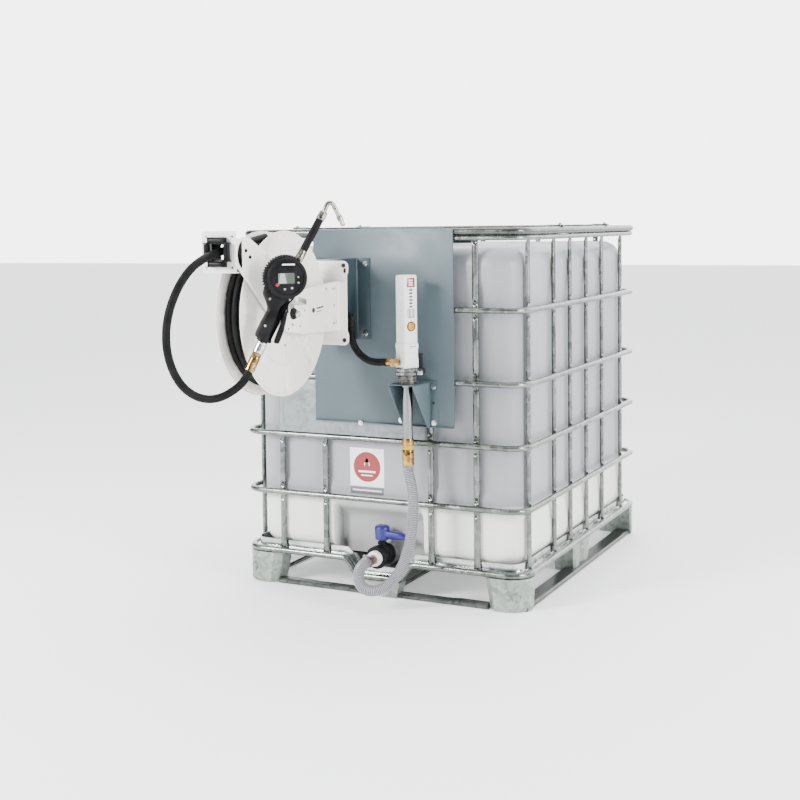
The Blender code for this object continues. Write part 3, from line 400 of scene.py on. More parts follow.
def flat_tube(axis, low, high, across, top):
    """A runner's flat tube with rounded edges and a joggle where it leaves the foot."""
    a0, a1 = across
    stations = []
    for run, lift in ((low, 0.0), (low + 0.10, 0.0), (low + 0.13, 0.002), (high - 0.13, 0.002),
            (high - 0.10, 0.0), (high, 0.0)):
        ring = []
        for a, z in ((a0 + 0.004, 0.0), (a1 - 0.004, 0.0), (a1, 0.003), (a1, top - 0.004 - lift),
                (a1 - 0.005, top - lift), (a0 + 0.005, top - lift), (a0, top - 0.004 - lift), (a0, 0.003)):
            ring.append((a, run, z) if axis == "y" else (run, a, z))
        stations.append(ring)
    return loft(stations)


for side, word in ((-1, "left"), (1, "right")):
    x0, x1 = sorted((side * 0.435, side * 0.490))
    parts = [flat_tube("y", -0.560, 0.560, (x0, x1), RUNNER_TOP)]
    piece(f"runner_tube_{word}", parts, runner_zinc, "container", [f"pallet_runner_{word}"])
    feet = [drawn_foot(side, -1), drawn_foot(side, 1)]
    middle = []
    for z, taper in ((0.1012, 0.0), (0.016, 0.012), (0.002, 0.014), (0.0, 0.018)):
        xa, xb, y = 0.400 + taper * 0.4, 0.478 - taper * 0.2, 0.085 - taper
        middle.append([(side * u, v, z) for u, v in ((xa, -y), (xb - 0.006, -y), (xb, -y + 0.006),
            (xb, -0.026), (xb - 0.012, -0.014), (xb - 0.012, 0.014), (xb, 0.026), (xb, y - 0.006),
            (xb - 0.006, y), (xa, y))])
    feet.append(loft(middle))
    for end in (-1, 1):
        facing = Vector((side * 0.56, end * 0.83, 0.0)).normalized()
        spot = Vector((side * 0.4640, end * 0.5880, 0.047))
        feet.append(lathe(((-0.004, 0.0165), (0.0006, 0.0160), (0.0012, 0.0135), (0.0002, 0.0125),
            (0.0014, 0.0115), (0.0026, 0.0070), (0.0030, 0.0010)), spot, facing, 24))
    made = piece(f"drawn_feet_{word}", feet, foot_zinc, "container", [], 32.0)

piece("runner_tube_middle", [flat_tube("y", -0.5445, 0.5445, (-0.030, 0.030), RUNNER_TOP)], runner_zinc,
    "container", ["pallet_runner_middle"])
piece("middle_foot", [loft([[(sx * (0.060 - t), sy * (0.060 - t), z) for sx,
    sy in ((-1, -1), (1, -1), (1, 1), (-1, 1))] for z, t in ((0.1072, 0.0), (0.016, 0.010), (0.0, 0.014))])],
    foot_zinc, "container", [])
for end, word, top in ((-1, "front", 0.049), (1, "back", 0.1012)):
    y0, y1 = sorted((end * 0.548, end * 0.588))
    piece(f"skid_tube_{word}", [flat_tube("x", -0.3700, 0.3700, (y0, y1), RUNNER_TOP)], runner_zinc,
        "container", [f"pallet_skid_{word}"])
    y0, y1 = sorted((end * 0.546, end * 0.594))
    piece(f"skid_foot_{word}", [loft([[(sx * (0.075 - t), (y0 if sy < 0 else y1), z) for sx,
        sy in ((-1, -1), (1, -1), (1, 1), (-1, 1))] for z, t in ((top, 0.0), (0.016, 0.008), (0.0, 0.012))])],
        foot_zinc, "container", [])

# Pallet pan. One sheet is pressed into a tray whose front dips into a chute under the outlet; its edge is rolled
# round a tube that the cage's bars are clamped to.
PAN_EDGE_INSET = 0.0328
RAIL_HEIGHT, RAIL_RADIUS = 0.112, 0.010


def dished(x, y, z):
    """Lowers the front middle of the pan into the chute."""
    across = min(1.0, max(0.0, (0.120 - abs(x)) / 0.050))
    along = min(1.0, max(0.0, (-0.455 - y) / (0.145 - PAN_EDGE_INSET)))
    return (x, y, z - 0.052 * across * across * (3.0 - 2.0 * across) * along)


def hoop_outline(half_x, half_y, radius, arc_steps, side_steps):
    """A rectangle with round corners, its sides and corners divided evenly."""
    points = []
    sides = ((half_y, 1, 1), (half_x, -1, 1), (half_y, -1, -1), (half_x, 1, -1))
    for quarter, (_, side_x, side_y) in enumerate(sides):
        centre = (side_x * (half_x - radius), side_y * (half_y - radius))
        corner = arc(centre, radius, 90.0 * quarter, 90.0 * quarter + 90.0, arc_steps)
        if points:
            start, end = points[-1], corner[0]
            points += [(start[0] + (end[0] - start[0]) * i / side_steps,
                start[1] + (end[1] - start[1]) * i / side_steps) for i in range(1, side_steps)]
        points += corner
    start, end = points[-1], points[0]
    points += [(start[0] + (end[0] - start[0]) * i / side_steps,
        start[1] + (end[1] - start[1]) * i / side_steps) for i in range(1, side_steps)]
    return points


pan_profile = [(-PAN_EDGE_INSET - 0.0015, 0.1415), (-PAN_EDGE_INSET, 0.1425),
    (-PAN_EDGE_INSET + 0.0012, 0.1415), (-PAN_EDGE_INSET + 0.0012, 0.1240),
    (-PAN_EDGE_INSET + 0.0030, 0.1190), (-0.0230, 0.1180), (-0.0200, 0.1165), (-0.0170, 0.1050),
    (-0.0280, 0.1035), (-0.0420, 0.1065), (-0.0600, 0.1080), (-0.0900, 0.1080), (-0.0960, 0.1040),
    (-0.1100, 0.1040), (-0.1160, 0.1080), (-0.1800, 0.1080), (-0.1860, 0.1040), (-0.2000, 0.1040),
    (-0.2060, 0.1080), (-0.2800, 0.1080), (-0.2860, 0.1040), (-0.3000, 0.1040), (-0.3060, 0.1080),
    (-0.4200, 0.1080), (-0.4200, 0.1105), (-0.1450, 0.1108), (-0.0600, 0.1108), (-0.0380, 0.1130),
    (-PAN_EDGE_INSET - 0.0015, 0.1200)]
loops = []
for outward, height in pan_profile:
    radius = max(0.012, CORNER + outward)
    outline = hoop_outline(HALF_X + outward, HALF_Y + outward, radius, 12, 50)
    loops.append([dished(x, y, height) for x, y in outline])
bright_zinc = zinc("bright_zinc", (0.26, 0.29, 0.28), (0.58, 0.61, 0.60), (0.10, 0.26), 40.0, 0.95, bump=0.12)
piece("pressed_pan", [loft(loops, ends=False, ring=True)], bright_zinc, "container", ["pallet_pan"],
    40.0)
middle = (HALF_X - RAIL_RADIUS, HALF_Y - RAIL_RADIUS, CORNER - RAIL_RADIUS)
rail = [Vector(dished(x, y, RAIL_HEIGHT)) for x, y in hoop_outline(*middle, 12, 60)]
tube_zinc = zinc("tube_zinc", (0.085, 0.095, 0.085), (0.21, 0.23, 0.215), (0.16, 0.34), 45.0, 0.92, bump=0.15)
piece("pan_rail", [tube(rail + [rail[0]], RAIL_RADIUS, 16, closed=True)], tube_zinc, "container", [],
    60.0)

# Bottle. Blow-moulded in one piece from milky high-density polyethylene about 2 mm thick, with shallow channels
# behind the cage's bars, a pocket for the outlet, and a stub that the valve is screwed to.
FRONT_BARS_X = (-0.355, -0.195, 0.178, 0.332)
BACK_BARS_X = (-0.345, -0.115, 0.115, 0.345)
SIDE_BARS_Y = (-0.500, -0.270, -0.110, 0.060, 0.235, 0.460)
BOTTLE_HALF_X, BOTTLE_HALF_Y = 0.466, 0.566
BOTTLE_BOTTOM, BOTTLE_TOP = 0.1145, 1.102
POCKET_X = (-0.176, 0.146)
POCKET_DEPTH = 0.054


def ease(value):
    value = min(1.0, max(0.0, value))
    return value * value * (3.0 - 2.0 * value)


def channel(place, centres, half_width, depth):
    """How far a wall is pulled in at this place across its channels."""
    return max(depth * ease(1.0 - (abs(place - c) - 0.4 * half_width) / (0.6 * half_width)) for c in centres)


def moulded(x, y, z, body_half_x, body_half_y):
    """Moves a point of the plain rounded block onto the moulded wall."""
    tall = ease((z - 0.210) / 0.05) * ease((1.010 - z) / 0.05)
    if abs(x) > body_half_x - 0.002:
        x -= math.copysign(tall * channel(y, SIDE_BARS_Y, 0.042, 0.007), x)
    if y > body_half_y - 0.002:
        y -= tall * channel(x, BACK_BARS_X, 0.042, 0.007)
    if y < -body_half_y + 0.002:
        upper = ease((z - 0.330) / 0.03) * ease((1.010 - z) / 0.05)
        y += upper * channel(x, FRONT_BARS_X, 0.042, 0.007)
        across = ease((x - POCKET_X[0]) / 0.016) * ease((POCKET_X[1] - x) / 0.016)
        roof = ease((0.302 - z) / 0.072)
        y = max(y, -BOTTLE_HALF_Y + POCKET_DEPTH * across * roof)
    return (x, y, z)


loops = []
edge = 0.060
levels = [(BOTTLE_BOTTOM + edge * (1.0 - math.cos(math.radians(a))), edge * (1.0 - math.sin(math.radians(a))))
    for a in range(0, 91, 9)]
levels += [(BOTTLE_BOTTOM + edge + (BOTTLE_TOP - BOTTLE_BOTTOM - 2 * edge) * i / 62, 0.0) for i in range(1,
    62)]
levels += [(BOTTLE_TOP - edge * (1.0 - math.cos(math.radians(a))), edge * (1.0 - math.sin(math.radians(a))))
    for a in range(90, -1, -9)]
for z, pull in levels:
    half_x, half_y = BOTTLE_HALF_X - pull, BOTTLE_HALF_Y - pull
    outline = hoop_outline(half_x, half_y, 0.095 - 0.6 * pull, 14, 64)
    loops.append([moulded(x, y, z, half_x, half_y) for x, y in outline])
half_x, half_y = BOTTLE_HALF_X - edge, BOTTLE_HALF_Y - edge
for shrink, z in ((0.020, BOTTLE_TOP), (0.030, BOTTLE_TOP - 0.006), (0.055, BOTTLE_TOP - 0.006),
        (0.065, BOTTLE_TOP), (0.200, BOTTLE_TOP), (0.208, BOTTLE_TOP + 0.004), (0.300, BOTTLE_TOP + 0.004)):
    loops.append([(x, y, z) for x, y in hoop_outline(half_x - shrink, half_y - shrink, 0.055, 14, 64)])
shell = loft(loops)
neck = lathe(((-0.010, 0.0800), (0.006, 0.0780), (0.010, 0.0750), (0.0330, 0.0750), (0.0330, 0.0710),
    (0.0, 0.0710)), (0.0, 0.0, BOTTLE_TOP), (0, 0, 1), 64)
stub = lathe(((-0.006, 0.0400), (-0.002, 0.0340), (0.004, 0.0300), (0.0500, 0.0280)), (0.0, -0.5150, 0.126),
    (0, -1, 0), 40)

material, nodes, links, shader = principled("milky_polyethylene", (0.50, 0.52, 0.54), 0.36,
    Subsurface_Weight=0.25, Subsurface_Scale=0.02, Specular_IOR_Level=0.4)
shader.inputs["Subsurface Radius"].default_value = (1.0, 1.0, 1.1)
where = added(nodes, "TexCoord")
split = added(nodes, "SeparateXYZ", {0: where.outputs["Object"]})
cloud = added(nodes, "TexNoise", {"Scale": 3.2, "Detail": 5.0, "Vector": where.outputs["Object"]})
wander = added(nodes, "Math", {1: 0.030, 0: cloud.outputs["Fac"], 2: split.outputs["Z"]},
    operation="MULTIPLY_ADD")
height = added(nodes, "MapRange", {"From Min": 0.10, "From Max": 1.12, "Value": wander.outputs[0]})
tone = ramp(nodes, height.outputs["Result"], (0.0, (0.82, 0.81, 0.78)), (1.0, (0.26, 0.27, 0.29)))
for position, colour in ((0.185, (0.80, 0.79, 0.765)), (0.225, (0.31, 0.32, 0.335)),
        (0.55, (0.28, 0.295, 0.31)), (0.85, (0.29, 0.30, 0.32))):
    tone.color_ramp.elements.new(position).color = (*colour, 1.0)
flow = added(nodes, "Mapping", {"Scale": (26.0, 26.0, 1.2), "Vector": where.outputs["Object"]})
streaks = added(nodes, "TexNoise", {"Scale": 1.0, "Detail": 4.0, "Vector": flow.outputs["Vector"]})
faint = added(nodes, "MapRange", {"To Min": 0.93, "To Max": 1.03, "Value": streaks.outputs["Fac"]})
# Painted shade: the front face of the outlet pocket is mixed towards grey, standing in for the shadow in the recess.
inside = added(nodes, "Math", {1: sum(POCKET_X) / 2, 2: 0.5 * (POCKET_X[1] - POCKET_X[0]),
    0: split.outputs["X"]}, operation="COMPARE")
set_back = added(nodes, "MapRange", {"From Min": -BOTTLE_HALF_Y + 0.006, "From Max": -0.530,
    "Value": split.outputs["Y"]})
in_front = added(nodes, "Math", {1: -0.45, 0: split.outputs["Y"]}, operation="LESS_THAN")
pocket = set_back.outputs["Result"]
for limit in (inside, in_front):
    both = added(nodes, "Math", {0: pocket, 1: limit.outputs[0]}, operation="MULTIPLY")
    pocket = both.outputs[0]
pocket_painted_shade = added(nodes, "Mix", {7: (0.33, 0.335, 0.33, 1.0), 0: pocket, 6: tone.outputs["Color"]},
    data_type="RGBA")
mixed = added(nodes, "Mix", {0: 1.0, 6: pocket_painted_shade.outputs[2], 7: faint.outputs["Result"]}, data_type="RGBA",
    blend_type="MULTIPLY")
gloss = added(nodes, "MapRange", {"To Min": 0.28, "To Max": 0.46, "Value": cloud.outputs["Fac"]})
dimple = added(nodes, "Bump", {"Strength": 0.12, "Distance": 0.004, "Height": streaks.outputs["Fac"]})
fed(shader, Base_Color=mixed.outputs[2], Roughness=gloss.outputs["Result"], Normal=dimple.outputs["Normal"])
piece("moulded_bottle", [shell, neck, stub], material, "container", ["bottle"], 40.0)

# Filler cap. A black moulded screw lid with a grip of fine ribs round its skirt and a raised centre boss.
CAP_BOTTOM, CAP_TOP, CAP_RADIUS = 1.108, 1.150, 0.085
sides = 144
loops = []
for z, radius, depth in ((CAP_BOTTOM, 0.0770, 0.0), (CAP_BOTTOM, 0.0845, 0.0),
        (CAP_BOTTOM + 0.002, CAP_RADIUS, 0.0), (CAP_BOTTOM + 0.004, CAP_RADIUS, 0.0022),
        (CAP_TOP - 0.008, CAP_RADIUS - 0.001, 0.0022), (CAP_TOP - 0.005, CAP_RADIUS - 0.002, 0.0),
        (CAP_TOP - 0.001, 0.0800, 0.0), (CAP_TOP, 0.0780, 0.0), (CAP_TOP, 0.0640, 0.0),
        (CAP_TOP - 0.004, 0.0620, 0.0), (CAP_TOP - 0.004, 0.0340, 0.0), (CAP_TOP - 0.0005, 0.0320, 0.0),
        (CAP_TOP - 0.0005, 0.0080, 0.0)):
    loops.append([((radius - depth * (i % 4 in (0, 1))) * math.cos(2 * math.pi * i / sides),
        (radius - depth * (i % 4 in (0, 1))) * math.sin(2 * math.pi * i / sides), z) for i in range(sides)])
loops = [[(0.0768 * math.cos(2 * math.pi * i / sides), 0.0768 * math.sin(2 * math.pi * i / sides), 1.1345)
    for i in range(sides)]] + loops


def black_moulding(name, colour=(0.007, 0.007, 0.008), roughness=(0.35, 0.55), grain=700.0, strength=0.25):
    """Black moulded plastic: spark-eroded grain with slightly shinier rubbed patches."""
    material, nodes, links, shader = principled(name, colour, 0.45, Specular_IOR_Level=0.10)
    where = added(nodes, "TexCoord")
    fine = added(nodes, "TexNoise", {"Scale": grain, "Detail": 2.0, "Vector": where.outputs["Object"]})
    rubbed = added(nodes, "TexNoise", {"Scale": 22.0, "Detail": 4.0, "Vector": where.outputs["Object"]})
    gloss = added(nodes, "MapRange", {"From Min": 0.35, "From Max": 0.65, "To Min": roughness[0],
        "To Max": roughness[1], "Value": rubbed.outputs["Fac"]})
    tone = ramp(nodes, rubbed.outputs["Fac"], (0.35, [c * 0.75 for c in colour]),
        (0.75, [min(1.0, c * 1.5 + 0.004) for c in colour]))
    lift = added(nodes, "Bump", {"Strength": strength, "Distance": 0.0003, "Height": fine.outputs["Fac"]})
    fed(shader, Roughness=gloss.outputs["Result"], Base_Color=tone.outputs["Color"],
        Normal=lift.outputs["Normal"])
    return material


piece("ribbed_cap", [loft(loops)], black_moulding("cap_black"), "filler_cap", ["filler_cap"],
    30.0)

# Outlet valve. A black butterfly valve screwed on the stub, with a ribbed union nut, a white coupling ring, a brown
# hose barb, and a blue lever that turns on the stem.
OUTLET_Z = 0.126
LEVER_Y = -0.560
outlet = (0.0, 0.0, OUTLET_Z)
valve = lathe(((0.5325, 0.0290), (0.5325, 0.0340), (0.5440, 0.0340), (0.5450, 0.0320), (0.5520, 0.0310),
    (0.5790, 0.0310), (0.5830, 0.0330)), outlet, (0, -1, 0), 48)
nut = []
for along, radius, depth in ((0.5830, 0.0340, 0.0), (0.5840, 0.0358, 0.0), (0.5870, 0.0360, 0.0016),
        (0.6020, 0.0360, 0.0016), (0.6050, 0.0355, 0.0), (0.6070, 0.0335, 0.0), (0.6070, 0.0250, 0.0)):
    nut.append([((radius - depth * (i % 4 in (0, 1))) * math.cos(2 * math.pi * i / 96), -along,
        OUTLET_Z + (radius - depth * (i % 4 in (0, 1))) * math.sin(2 * math.pi * i / 96)) for i in range(96)])
boss = lathe(((0.1260, 0.0130), (0.1600, 0.0130), (0.1615, 0.0150), (0.1680, 0.0150), (0.1690, 0.0110),
    (0.1750, 0.0110)), (0.0, LEVER_Y, 0.0), (0, 0, 1), 32)
lugs = [box((-0.037, -0.578, 0.112), (0.037, -0.566, 0.140), 0.003)]
piece("valve_and_nut", [valve, loft(nut), boss, *lugs], black_moulding("valve_black", roughness=(0.28, 0.42)),
    "container", ["valve_body"])
ring = lathe(((0.6075, 0.0235), (0.6075, 0.0240), (0.6200, 0.0240), (0.6240, 0.0225), (0.6260, 0.0190),
    (0.6260, 0.0150)), outlet, (0, -1, 0), 40)


def moulded_plastic(name, colour, roughness, shade=0.85, grain=320.0, coat=0.0):
    """Coloured moulding with a faint orange-peel skin and slightly uneven colour."""
    material, nodes, links, shader = principled(name, colour, roughness, Coat_Weight=coat)
    where = added(nodes, "TexCoord")
    cloud = added(nodes, "TexNoise", {"Scale": 35.0, "Detail": 5.0, "Vector": where.outputs["Object"]})
    fine = added(nodes, "TexNoise", {"Scale": grain, "Vector": where.outputs["Object"]})
    tone = ramp(nodes, cloud.outputs["Fac"], (0.3, [c * shade for c in colour]), (0.7, colour))
    gloss = added(nodes, "MapRange", {"To Min": roughness * 0.8, "To Max": roughness * 1.3,
        "Value": cloud.outputs["Fac"]})
    lift = added(nodes, "Bump", {"Strength": 0.15, "Distance": 0.0004, "Height": fine.outputs["Fac"]})
    fed(shader, Base_Color=tone.outputs["Color"], Roughness=gloss.outputs["Result"],
        Normal=lift.outputs["Normal"])
    return material


piece("coupling_ring", [ring], moulded_plastic("ring_white", (0.86, 0.84, 0.80), 0.35), "container",
    ["hose_adapter"])
barb = lathe(((0.6240, 0.0150), (0.6400, 0.0150), (0.6405, 0.0142), (0.6460, 0.0150), (0.6465, 0.0138),
    (0.6520, 0.0147), (0.6525, 0.0134), (0.6600, 0.0140), (0.6655, 0.0125)), outlet, (0, -1, 0), 32)
barb_brown = moulded_plastic("barb_brown", (0.13, 0.045, 0.03), 0.30, 0.6, coat=0.3)
piece("hose_barb", [barb], barb_brown, "container", [])
band = lathe(((0.6660, 0.0178), (0.6662, 0.0186), (0.6755, 0.0186), (0.6757, 0.0178)), outlet, (0, -1, 0), 40)
screw = lathe(((-0.010, 0.0035), (0.010, 0.0035)), (0.0, -0.6708, OUTLET_Z + 0.0215), (1, 0, 0), 6)
steel_clip = zinc("clip_steel", (0.35, 0.35, 0.34), (0.75, 0.75, 0.73), (0.15, 0.3), 200.0, 1.0)
piece("hose_clip", [band, screw], steel_clip, "container", [])

hub = lathe(((0.1758, 0.0200), (0.1775, 0.0220), (0.2080, 0.0236), (0.2140, 0.0238), (0.2185, 0.0215),
    (0.2205, 0.0170), (0.2205, 0.0040)), (0.0, LEVER_Y, 0.0), (0, 0, 1), 40)
grip = []
for x, half, low, high in ((0.008, 0.0150, 0.1810, 0.2080), (0.026, 0.0145, 0.1815, 0.2060),
        (0.045, 0.0138, 0.1815, 0.2040), (0.062, 0.0135, 0.1810, 0.2030), (0.076, 0.0128, 0.1805, 0.1980),
        (0.083, 0.0105, 0.1805, 0.1930), (0.0858, 0.0070, 0.1820, 0.1890)):
    middle_z, half_z = 0.5 * (low + high), 0.5 * (high - low)
    grip.append([(x, LEVER_Y + half * math.copysign(abs(math.cos(t)) ** 0.55, math.cos(t)),
        middle_z + half_z * math.copysign(abs(math.sin(t)) ** 0.55, math.sin(t)))
        for t in (2 * math.pi * (i + 0.5) / 28 for i in range(28))])
piece("lever_blue", [hub, loft(grip)], moulded_plastic("lever_blue", (0.012, 0.008, 0.17), 0.32, 0.8),
    "valve_lever", ["valve_lever"], 40.0)

# Cage rings. Four hoops of round zinc-coated tube, each bent at the corners and butt-welded at the back, and a
# double top rim of a thick and a thin tube.
def geometry_tree(name, **sockets):
    """An empty geometry tree with a named input for each value and one for the finish; its nodes and its inputs."""
    tree = bpy.data.node_groups.new(name, "GeometryNodeTree")
    for way in ("INPUT", "OUTPUT"):
        tree.interface.new_socket("Geometry", in_out=way, socket_type="NodeSocketGeometry")
    for socket, kind in {**sockets, "Finish": "Material"}.items():
        tree.interface.new_socket(socket.replace("_", " "), in_out="INPUT", socket_type="NodeSocket" + kind)
    return tree, tree.nodes, tree.nodes.new("NodeGroupInput").outputs


def finished(nodes, given, geometry):
    """The end of a tree: its instances made real and its finish put on."""
    solid = added(nodes, "GeometryNodeRealizeInstances", {"Geometry": geometry})
    painted = added(nodes, "GeometryNodeSetMaterial",
        {"Geometry": solid.outputs["Geometry"], "Material": given["Finish"]})
    added(nodes, "NodeGroupOutput", {"Geometry": painted.outputs["Geometry"]})


def hoop_tree():
    """A rectangle of tube with round corners: width, depth, corner radius, height and tube radius are inputs."""
    tree, nodes, given = geometry_tree("bent_tube_hoop", Width="Float", Depth="Float", Corner_Radius="Float",
        Height="Float", Tube_Radius="Float")
    frame_line = added(nodes, "GeometryNodeCurvePrimitiveQuadrilateral",
        {"Width": given["Width"], "Height": given["Depth"]})
    fillet = added(nodes, "GeometryNodeFilletCurve", {"Count": 12, "Curve": frame_line.outputs["Curve"],
        "Radius": given["Corner Radius"]}, mode="POLY")
    up = added(nodes, "CombineXYZ", {"Z": given["Height"]})
    raised = added(nodes, "GeometryNodeSetPosition", {"Geometry": fillet.outputs["Curve"],
        "Offset": up.outputs["Vector"]})
    section = added(nodes, "GeometryNodeCurvePrimitiveCircle",
        {"Resolution": 18, "Radius": given["Tube Radius"]})
    swept = added(nodes, "GeometryNodeCurveToMesh", {"Curve": raised.outputs["Geometry"],
        "Profile Curve": section.outputs["Curve"]})
    smooth = added(nodes, "GeometryNodeSetShadeSmooth", {"Geometry": swept.outputs["Mesh"]})
    finished(nodes, given, smooth.outputs["Geometry"])
    return tree


def grown(name, tree, source, values, body="container", stands_for=()):
    """The plain mesh that a geometry tree makes from a source mesh, riding on its body."""
    holder = bpy.data.objects.new(name, source)
    scene.collection.objects.link(holder)
    step = holder.modifiers.new("grown", "NODES")
    step.node_group = tree
    for item in tree.interface.items_tree:
        if item.in_out == "INPUT" and item.name in values:
            step[item.identifier] = values[item.name]
    bpy.context.view_layer.update()
    graph = bpy.context.evaluated_depsgraph_get()
    mesh = bpy.data.meshes.new_from_object(holder.evaluated_get(graph), preserve_all_data_layers=True,
        depsgraph=graph)
    holder.modifiers.clear()
    holder.data = mesh
    mesh.name = name
    mesh.materials.clear()
    mesh.materials.append(values["Finish"])
    for face in mesh.polygons:
        face.material_index = 0
    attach(holder, body)
    if stands_for:
        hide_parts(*stands_for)
    return holder


RING_HEIGHTS = (0.307, 0.499, 0.690, 0.9125)
RING_RADIUS = 0.009
RIM_HEIGHT, RIM_RADIUS = 1.149, 0.011
RIM_LOWER_HEIGHT, RIM_LOWER_RADIUS = 1.1295, 0.0080
hoops = hoop_tree()
dark_zinc = zinc("dark_zinc", (0.030, 0.033, 0.030), (0.105, 0.115, 0.108), (0.18, 0.34), 45.0, 0.92,
    bump=0.15)
for number, (height, radius, look) in enumerate([(h, RING_RADIUS, tube_zinc) for h in RING_HEIGHTS]
        + [(RIM_HEIGHT, RIM_RADIUS, dark_zinc), (RIM_LOWER_HEIGHT, RIM_LOWER_RADIUS, tube_zinc)], 1):
    inset = 0.009
    values = {"Width": 2 * (HALF_X - inset), "Depth": 2 * (HALF_Y - inset), "Corner Radius": CORNER - inset,
        "Height": height, "Tube Radius": radius, "Finish": look}
    name = f"hoop_{number}" if number < 5 else ("rim_thick_tube", "rim_thin_tube")[number - 5]
    stands_for = [f"cage_ring_{number}"] if number < 5 else ["cage_top_rim"]
    grown(name, hoops, bpy.data.meshes.new(name), values, "container", stands_for)

# Cage bars. Upright tubes rolled almost square, pinched just above and below each hoop, where they are spot-welded
# to it, and flattened at both ends.
BAR_HALF, BAR_DEPTH, BAR_FACE = 0.010, 0.012, 0.0203
BAR_BOTTOM, BAR_TOP = 0.1125, 1.138
PINCH_GAP, PINCH_REACH, PINCH_DEPTH = 0.0215, 0.0125, 0.0060


def pinch(z):
    """How deep the bar's face is pressed in at this height, from 0 to 1."""
    deep = 0.0
    for ring in (*RING_HEIGHTS, 1.142):
        for side in (-1, 1):
            away = abs(z - ring - side * PINCH_GAP) / PINCH_REACH
            deep = max(deep, ease(1.0 - away))
    return deep


def flat_end(z):
    return max(ease((0.150 - z) / 0.025), ease((z - 1.105) / 0.020))


def pressed_bar(face, place):
    """One bar: the section runs from edge to edge of its outer face, then round the back."""
    heights = {BAR_BOTTOM, BAR_TOP}
    for ring in (*RING_HEIGHTS, 1.142):
        for side in (-1, 1):
            heights |= {ring + side * PINCH_GAP + PINCH_REACH * k / 5 for k in range(-5, 6)}
        heights |= {ring - 0.004, ring + 0.004}
    heights |= {BAR_BOTTOM + k * 0.006 for k in range(7)} | {1.100 + k * 0.005 for k in range(7)}
    loops = []
    for z in sorted(h for h in heights if BAR_BOTTOM <= h <= BAR_TOP):
        deep, flat = pinch(z), flat_end(z)
        half = BAR_HALF + 0.0015 * flat - 0.0006 * deep
        back = BAR_DEPTH - 0.0045 * flat
        section = []
        for across, depth, press in ((-0.55, 0.0006, 0.35), (-0.36, 0.0, 0.75), (-0.18, -0.0004, 1.0),
                (0.0, -0.0005, 1.08), (0.18, -0.0004, 1.0), (0.36, 0.0, 0.75), (0.55, 0.0006, 0.35),
                (0.82, 0.0018, 0.05), (0.96, 0.0042, 0.0), (1.0, 0.0060, 0.0), (0.96, back - 0.0035, 0.0),
                (0.78, back - 0.0008, 0.0), (0.40, back, 0.0), (-0.40, back, 0.0),
                (-0.78, back - 0.0008, 0.0), (-0.96, back - 0.0035, 0.0), (-1.0, 0.0060, 0.0),
                (-0.96, 0.0042, 0.0), (-0.82, 0.0018, 0.05)):
            section.append((across * half, depth + press * PINCH_DEPTH * deep * (1.0 - 0.4 * flat)))
        loop = []
        for across, depth in section:
            if face[0]:
                loop.append((face[0] * (HALF_X - BAR_FACE - depth), place + across, z))
            else:
                loop.append((place + across, face[1] * (HALF_Y - BAR_FACE - depth), z))
        loops.append(loop)
    return loft(loops)


for word, face, places in (("front", (0, -1), FRONT_BARS_X), ("back", (0, 1), BACK_BARS_X),
        ("left", (-1, 0), SIDE_BARS_Y), ("right", (1, 0), SIDE_BARS_Y)):
    for number, place in enumerate(places, 1):
        piece(f"bar_{word}_{number}", [pressed_bar(face, place)], tube_zinc, "container",
            [f"cage_bar_{word}_{number}"], 50.0)

# Bars over the top. Two tubes across the container keep the bottle down; their flattened ends are screwed to the rim.
CROSSBARS_Y = (-0.235, 0.235)
crossbar_top = RIM_HEIGHT + RIM_RADIUS + 0.0005
for y, word in zip(CROSSBARS_Y, ("front", "back")):
    loops = []
    half_path = ((0.498, 0.0028, 0.0028, 0.0115), (0.496, 0.0030, 0.0030, 0.0125),
        (0.470, 0.0030, 0.0030, 0.0125), (0.460, 0.0026, 0.0040, 0.0122), (0.448, 0.0000, 0.0065, 0.0112),
        (0.436, -0.0040, 0.0088, 0.0104), (0.425, -0.0055, 0.0100, 0.0100))
    stations = [(-x, z, up, wide) for x, z, up, wide in half_path] + [(x, z, up, wide) for x, z, up,
        wide in half_path[::-1]]
    for x, z, up, wide in stations:
        loops.append([(x, y + wide * math.cos(t), crossbar_top + z + up * math.sin(t))
            for t in (2 * math.pi * (i + 0.5) / 20 for i in range(20))])
    piece(f"crossbar_tube_{word}", [loft(loops)], dark_zinc, "container", [f"cage_crossbar_{word}"],
        45.0)


